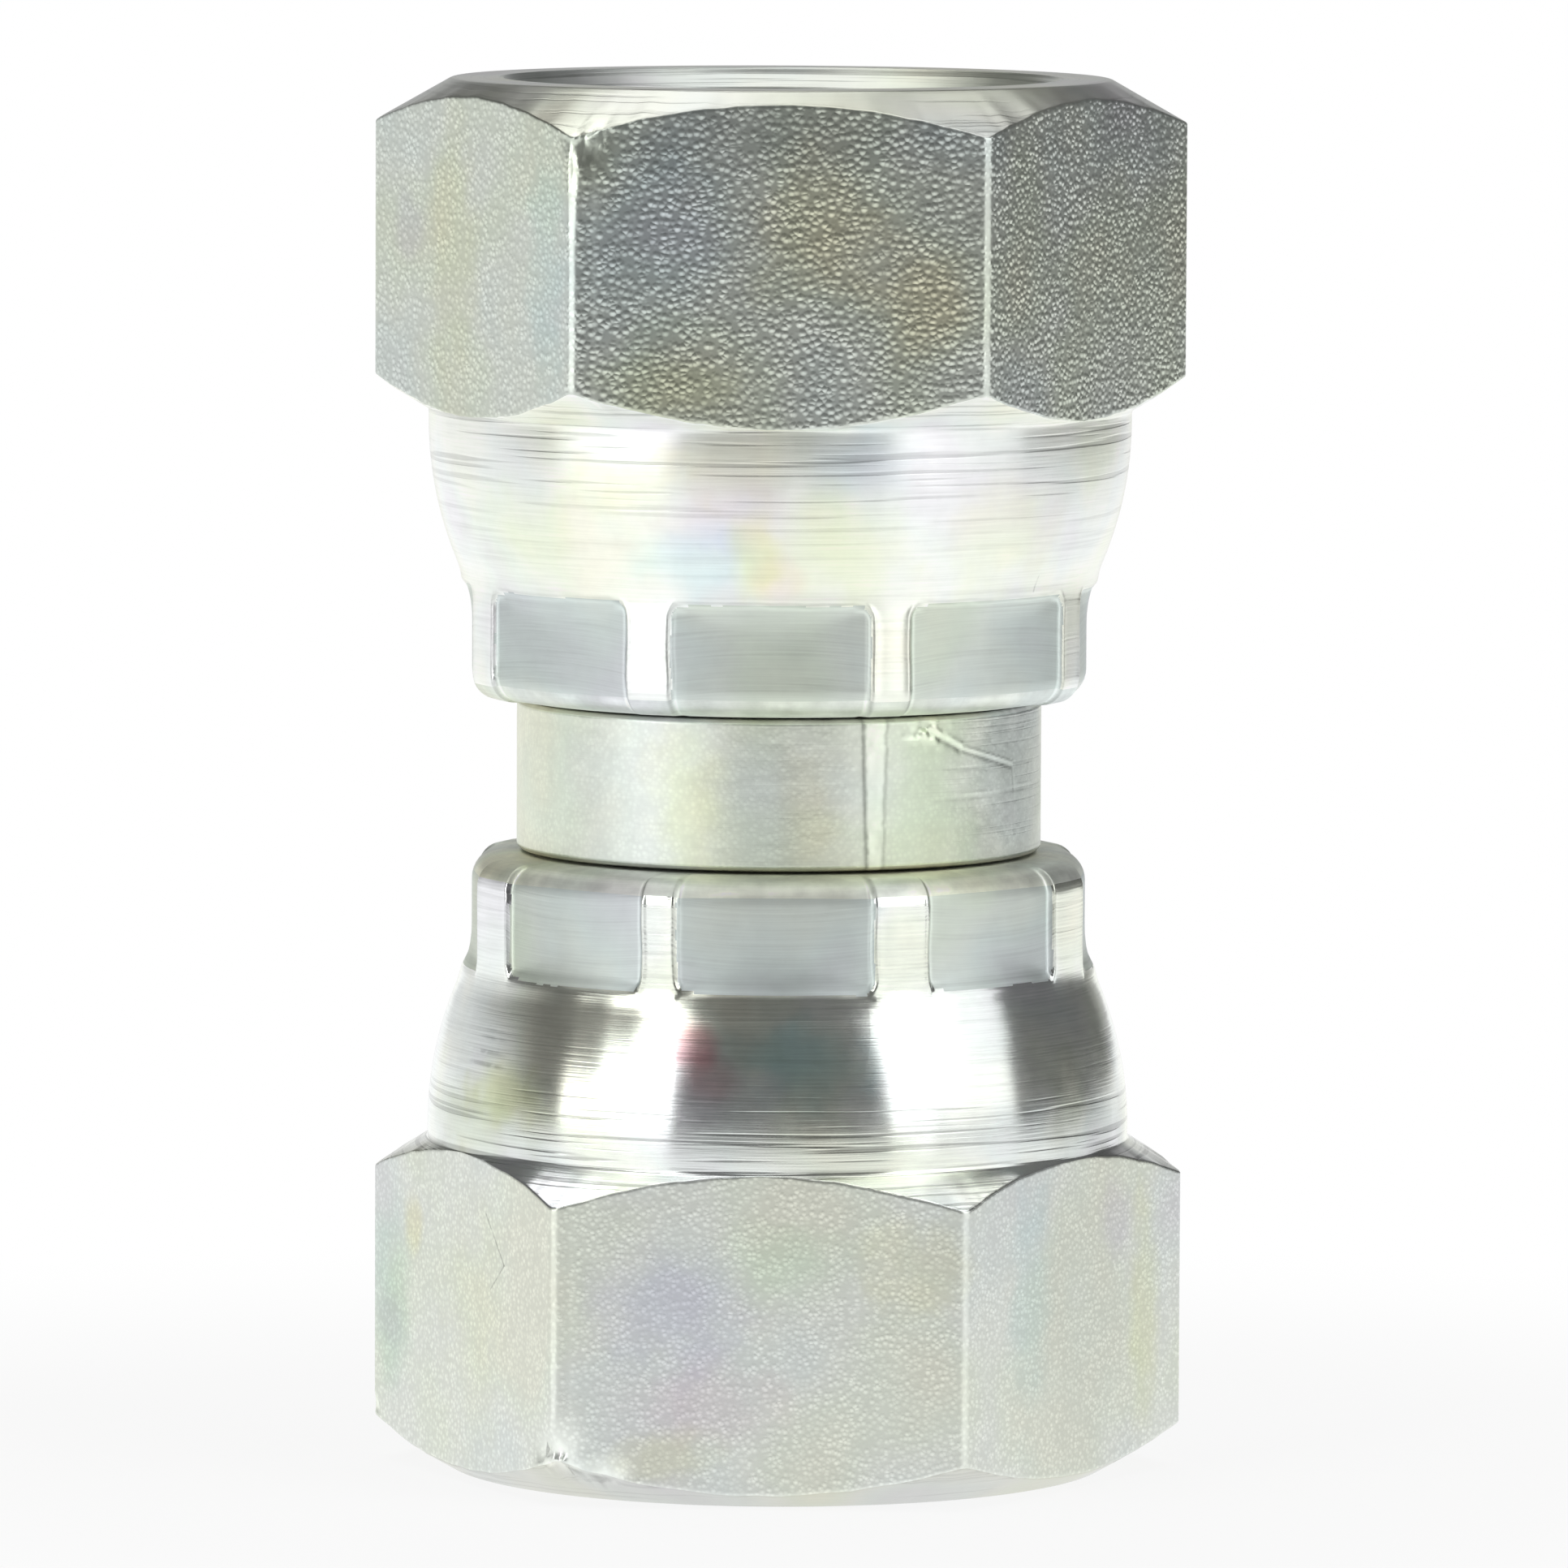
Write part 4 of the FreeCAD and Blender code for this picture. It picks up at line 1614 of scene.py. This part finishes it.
LOWER_FORGED = ZincFinish(
    "lower_forged", colour=(0.80, 0.83, 0.78), roughness=0.38, speck_size=0.19,
    speck_height=0.007, speck_highlight=0.3, tint=0.4,
    stains_and_shade=(
        ColourPatch((-15.0, -1.0, 6.4), (1.2, 2.0, 3.2), (0.80, 0.91, 0.86), 0.9, 0.9),
        ColourPatch((-15.0, -0.9, 5.6), (0.7, 1.2, 1.0), (0.96, 0.88, 0.98), 0.7, 0.9),
        ColourPatch((-14.0, -2.6, 9.4), (0.5, 0.9, 1.0), (1.0, 0.96, 0.80), 0.9),
        ColourPatch((-11.5, -7.0, 6.0), (1.8, 2.6, 5.0), (1.0, 1.0, 0.93), 0.8),
        ColourPatch((-3.9, -13.3, 7.4), (2.8, 1.5, 2.2), (0.91, 0.89, 1.0), 0.9),
        ColourPatch((-2.4, -13.4, 4.0), (2.6, 1.5, 1.5), (1.0, 0.93, 0.96), 0.9),
        ColourPatch((-4.2, -13.3, 2.0), (2.0, 1.5, 1.0), (1.0, 1.0, 0.84), 0.9),
        ColourPatch((5.3, -13.8, 9.3), (1.8, 1.5, 1.8), (1.0, 0.98, 0.84), 0.9),
        ColourPatch((0.1, -13.5, 9.3), (2.2, 1.5, 1.4), (0.94, 1.0, 0.94), 0.9),
        ColourPatch((9.6, -10.1, 7.6), (1.0, 1.7, 4.0), (0.90, 0.97, 1.0), 0.9),
        ColourPatch((12.9, -4.9, 10.0), (0.8, 1.3, 1.6), (0.95, 0.91, 1.0), 0.9),
        ColourPatch((14.0, -3.1, 6.7), (0.7, 1.3, 4.0), (1.0, 1.0, 0.84), 0.9),
        # A greyer patch over the right face: painted shade.
        ColourPatch((11.7, -6.8, 6.0), (3.4, 4.6, 7.0), (0.92, 0.92, 0.92), 0.9, 0.8),
    ),
    scratches=(
        Scratch((-11.0, -8.1, 10.5), (-10.3, -9.5, 8.7), 0.06, -0.3),
        Scratch((-10.3, -9.5, 8.7), (-10.9, -8.4, 7.6), 0.06, -0.3),
    ))

UPPER_TURNED = ZincFinish(
    "upper_turned", colour=(0.97, 0.99, 0.94), roughness=0.32, feed_height=0.012, feed=0.26,
    feed_shade=0.26, anisotropy=0.8, tint=0.45, tint_size=5.0,
    stains_and_shade=(
        ColourPatch((-5.6, -11.6, 38.3), (2.4, 3.0, 1.4), (1.0, 1.0, 0.84), 0.9),
        ColourPatch((-1.6, -13.2, 39.4), (2.9, 3.0, 1.4), (0.94, 0.91, 0.80), 0.8),
        ColourPatch((2.4, -13.1, 39.4), (2.6, 3.0, 1.4), (0.86, 0.91, 0.96), 0.8),
        ColourPatch((-2.0, -12.7, 37.4), (2.6, 3.0, 1.5), (0.96, 0.90, 1.0), 0.9),
        ColourPatch((-3.1, -11.9, 35.6), (2.2, 3.0, 1.2), (0.84, 0.95, 1.0), 0.9),
        ColourPatch((-0.9, -12.3, 35.7), (0.8, 3.0, 1.7), (1.0, 1.0, 0.74), 0.9),
        ColourPatch((-0.1, -12.2, 34.9), (1.0, 3.0, 0.8), (1.0, 0.90, 0.94), 0.8),
        ColourPatch((2.2, -12.3, 36.1), (2.4, 3.0, 2.2), (0.97, 1.0, 0.86), 0.9),
        ColourPatch((8.3, -9.4, 36.2), (2.6, 3.0, 2.3), (1.0, 1.0, 0.86), 0.8),
        ColourPatch((11.5, -6.8, 38.8), (1.6, 3.0, 1.2), (0.90, 0.92, 0.90), 0.8),
        ColourPatch((-9.9, -7.8, 36.2), (2.8, 3.5, 2.2), (0.96, 1.0, 0.90), 0.8),
    ),
    scratches=(
        Scratch((10.14, -7.48, 36.3), (9.6, -7.55, 34.2), 0.07, -0.22),
        Scratch((10.2, -6.95, 36.0), (10.05, -6.95, 34.6), 0.07, -0.22),
        Scratch((-9.5, -8.25, 36.3), (-8.9, -8.9, 36.5), 0.12, -0.4),
    ))

LOWER_TURNED = ZincFinish(
    "lower_turned", colour=(0.93, 0.96, 0.91), roughness=0.2, feed_height=0.009, feed=0.22,
    feed_shade=0.36, anisotropy=0.7, tint=0.5, tint_size=5.0,
    stains_and_shade=(
        ColourPatch((-3.1, -12.3, 17.4), (0.9, 2.0, 1.0), (0.95, 0.55, 0.60), 0.8),
        ColourPatch((-2.5, -12.6, 16.2), (1.2, 2.0, 0.9), (0.95, 0.72, 0.74), 0.8),
        ColourPatch((-0.6, -12.8, 17.2), (2.1, 2.0, 1.1), (0.88, 0.97, 1.0), 0.9),
        ColourPatch((0.9, -12.8, 16.6), (2.1, 2.0, 1.5), (0.82, 0.96, 1.0), 0.9),
        ColourPatch((-10.3, -8.0, 15.0), (2.0, 3.0, 1.1), (0.97, 0.98, 0.74), 0.9),
        # From here down, grey and olive patches that darken towards both sides of the taper: painted
        # shade, some with an olive tint.
        ColourPatch((-11.4, -6.6, 13.9), (2.8, 4.5, 1.5), (0.80, 0.82, 0.73), 0.9),
        ColourPatch((12.2, -5.6, 13.8), (2.2, 4.5, 1.5), (0.70, 0.71, 0.70), 0.9),
        ColourPatch((-13.6, -5.6, 11.9), (2.0, 3.5, 0.9), (0.66, 0.66, 0.54), 0.9),
        ColourPatch((13.6, -5.6, 11.9), (2.0, 3.5, 0.9), (0.64, 0.65, 0.58), 0.9),
        ColourPatch((-15.0, -0.6, 11.5), (1.6, 4.5, 0.9), (0.42, 0.42, 0.38), 0.9),
        ColourPatch((15.0, -0.6, 11.5), (1.6, 4.5, 0.9), (0.42, 0.42, 0.39), 0.9),
    ),
    scratches=tuple(
        Scratch((-0.9 * radius, -0.44 * radius, height), (-0.78 * radius, -0.63 * radius, height - 0.1),
                0.15, -0.32)
        for radius, height in ((12.62, 18.5), (12.72, 18.15), (12.8, 17.9), (12.93, 17.45),
                               (13.0, 17.15), (13.12, 16.6), (13.22, 16.15))
    ))

COLLAR = ZincFinish(
    "nipple_collar", colour=(0.84, 0.88, 0.80), roughness=0.38, feed_height=0.002, feed=0.12,
    feed_shade=0.06, speck_size=0.2, speck_height=0.003, speck_highlight=0.13, mottle=0.12,
    stains_and_shade=(
        ColourPatch((-8.4, -5.5, 27.0), (2.2, 2.5, 2.6), (0.93, 0.97, 1.0)),
        ColourPatch((-3.6, -9.4, 26.3), (1.4, 2.0, 3.0), (1.0, 1.0, 0.82), 0.8),
        ColourPatch((-0.6, -10.0, 26.0), (1.4, 2.0, 2.6), (0.90, 0.93, 0.97), 0.8),
        ColourPatch((1.1, -10.0, 26.4), (1.0, 2.0, 2.4), (1.0, 0.96, 0.88), 0.8),
        ColourPatch((5.6, -8.3, 26.4), (2.4, 2.4, 3.4), (0.82, 0.88, 0.80), 0.8),
        # A grey patch over the collar's right side: painted shade.
        ColourPatch((9.4, -3.4, 26.6), (2.0, 3.9, 4.5), (0.68, 0.69, 0.70), 0.9),
    ))

PLAIN_TURNED = ZincFinish(
    "nipple_turned", colour=(0.6, 0.6, 0.55), roughness=0.35, feed_height=0.004)


def upper_nut() -> SwivelNut:
    """The upper nut: port up, with chips on its front left corner and crisp prints."""
    return SwivelNut(
        name="upper_crimped_nut", node="upper_swivel_nut", body="upper_nut",
        finishes=nut_finishes("upper", UPPER_FORGED, UPPER_TURNED, (0.78, 0.82, 0.78)),
        upside_down=True, hex_turn=-0.2, crimp_turn=-1.8, seed=5,
        dents=(Dent(-29.0, 1.9, 0.6, 0.5, 0.2), Dent(-27.2, 1.5, 0.4, 0.3, 0.1),
               Dent(-30.2, 2.9, 0.22, 0.2, 0.1), Dent(-29.8, 3.6, 0.2, 0.28, 0.09),
               Dent(-30.3, 4.6, 0.16, 0.16, 0.06), Dent(-30.2, 6.3, 0.14, 0.14, 0.05)),
        print_edges=((-1, 1.4, 0.3), (0, 0.0, 0.3), (1, -1.0, 0.9)))


def lower_nut() -> SwivelNut:
    """The lower nut: port down, with a knocked front left corner and soft prints."""
    return SwivelNut(
        name="lower_crimped_nut", node="lower_swivel_nut", body="lower_nut",
        finishes=nut_finishes("lower", LOWER_FORGED, LOWER_TURNED, (0.84, 0.86, 0.77)),
        upside_down=False, hex_turn=-2.8, crimp_turn=1.0, seed=8,
        dents=(Dent(-33.2, 2.05, 0.75, 0.6, 0.4), Dent(-31.2, 1.4, 0.5, 0.3, 0.24),
               Dent(-34.6, 1.45, 0.3, 0.25, 0.14), Dent(-28.2, 1.1, 0.5, 0.3, 0.22),
               Dent(-25.7, 1.25, 0.45, 0.32, 0.24), Dent(-92.0, 2.0, 0.3, 0.25, 0.12)),
        print_edges=((-1, 4.3, 0.6), (0, -1.4, -1.7), (1, 0.2, -4.7)), trim_angle=-27.4,
        trim_ridge_highlight=EdgeLine(0.35, 0.0, 0.07), corner_highlight=EdgeLine(0.35, 0.0, 0.13),
        scored_depths=(16.0, 13.6), print_softness=4.0)


def nipple() -> Nipple:
    """The nipple, with its own finish on the collar and a plain one on what the nuts hide."""
    collar, plain = COLLAR.material(), PLAIN_TURNED.material()
    return Nipple({zone: collar if zone is Zone.TURNED else plain for zone in Zone})


def main() -> None:
    """Build the pieces and the studio, and report each piece."""
    logging.basicConfig(level=logging.INFO, format="%(message)s")
    for part in (nipple(), upper_nut(), lower_nut()):
        piece = part.build()
        LOG.info("%s: %d faces, stands for %s", piece.name, len(piece.data.polygons), part.node)
    Studio().build()


if __name__ == "__main__":
    main()
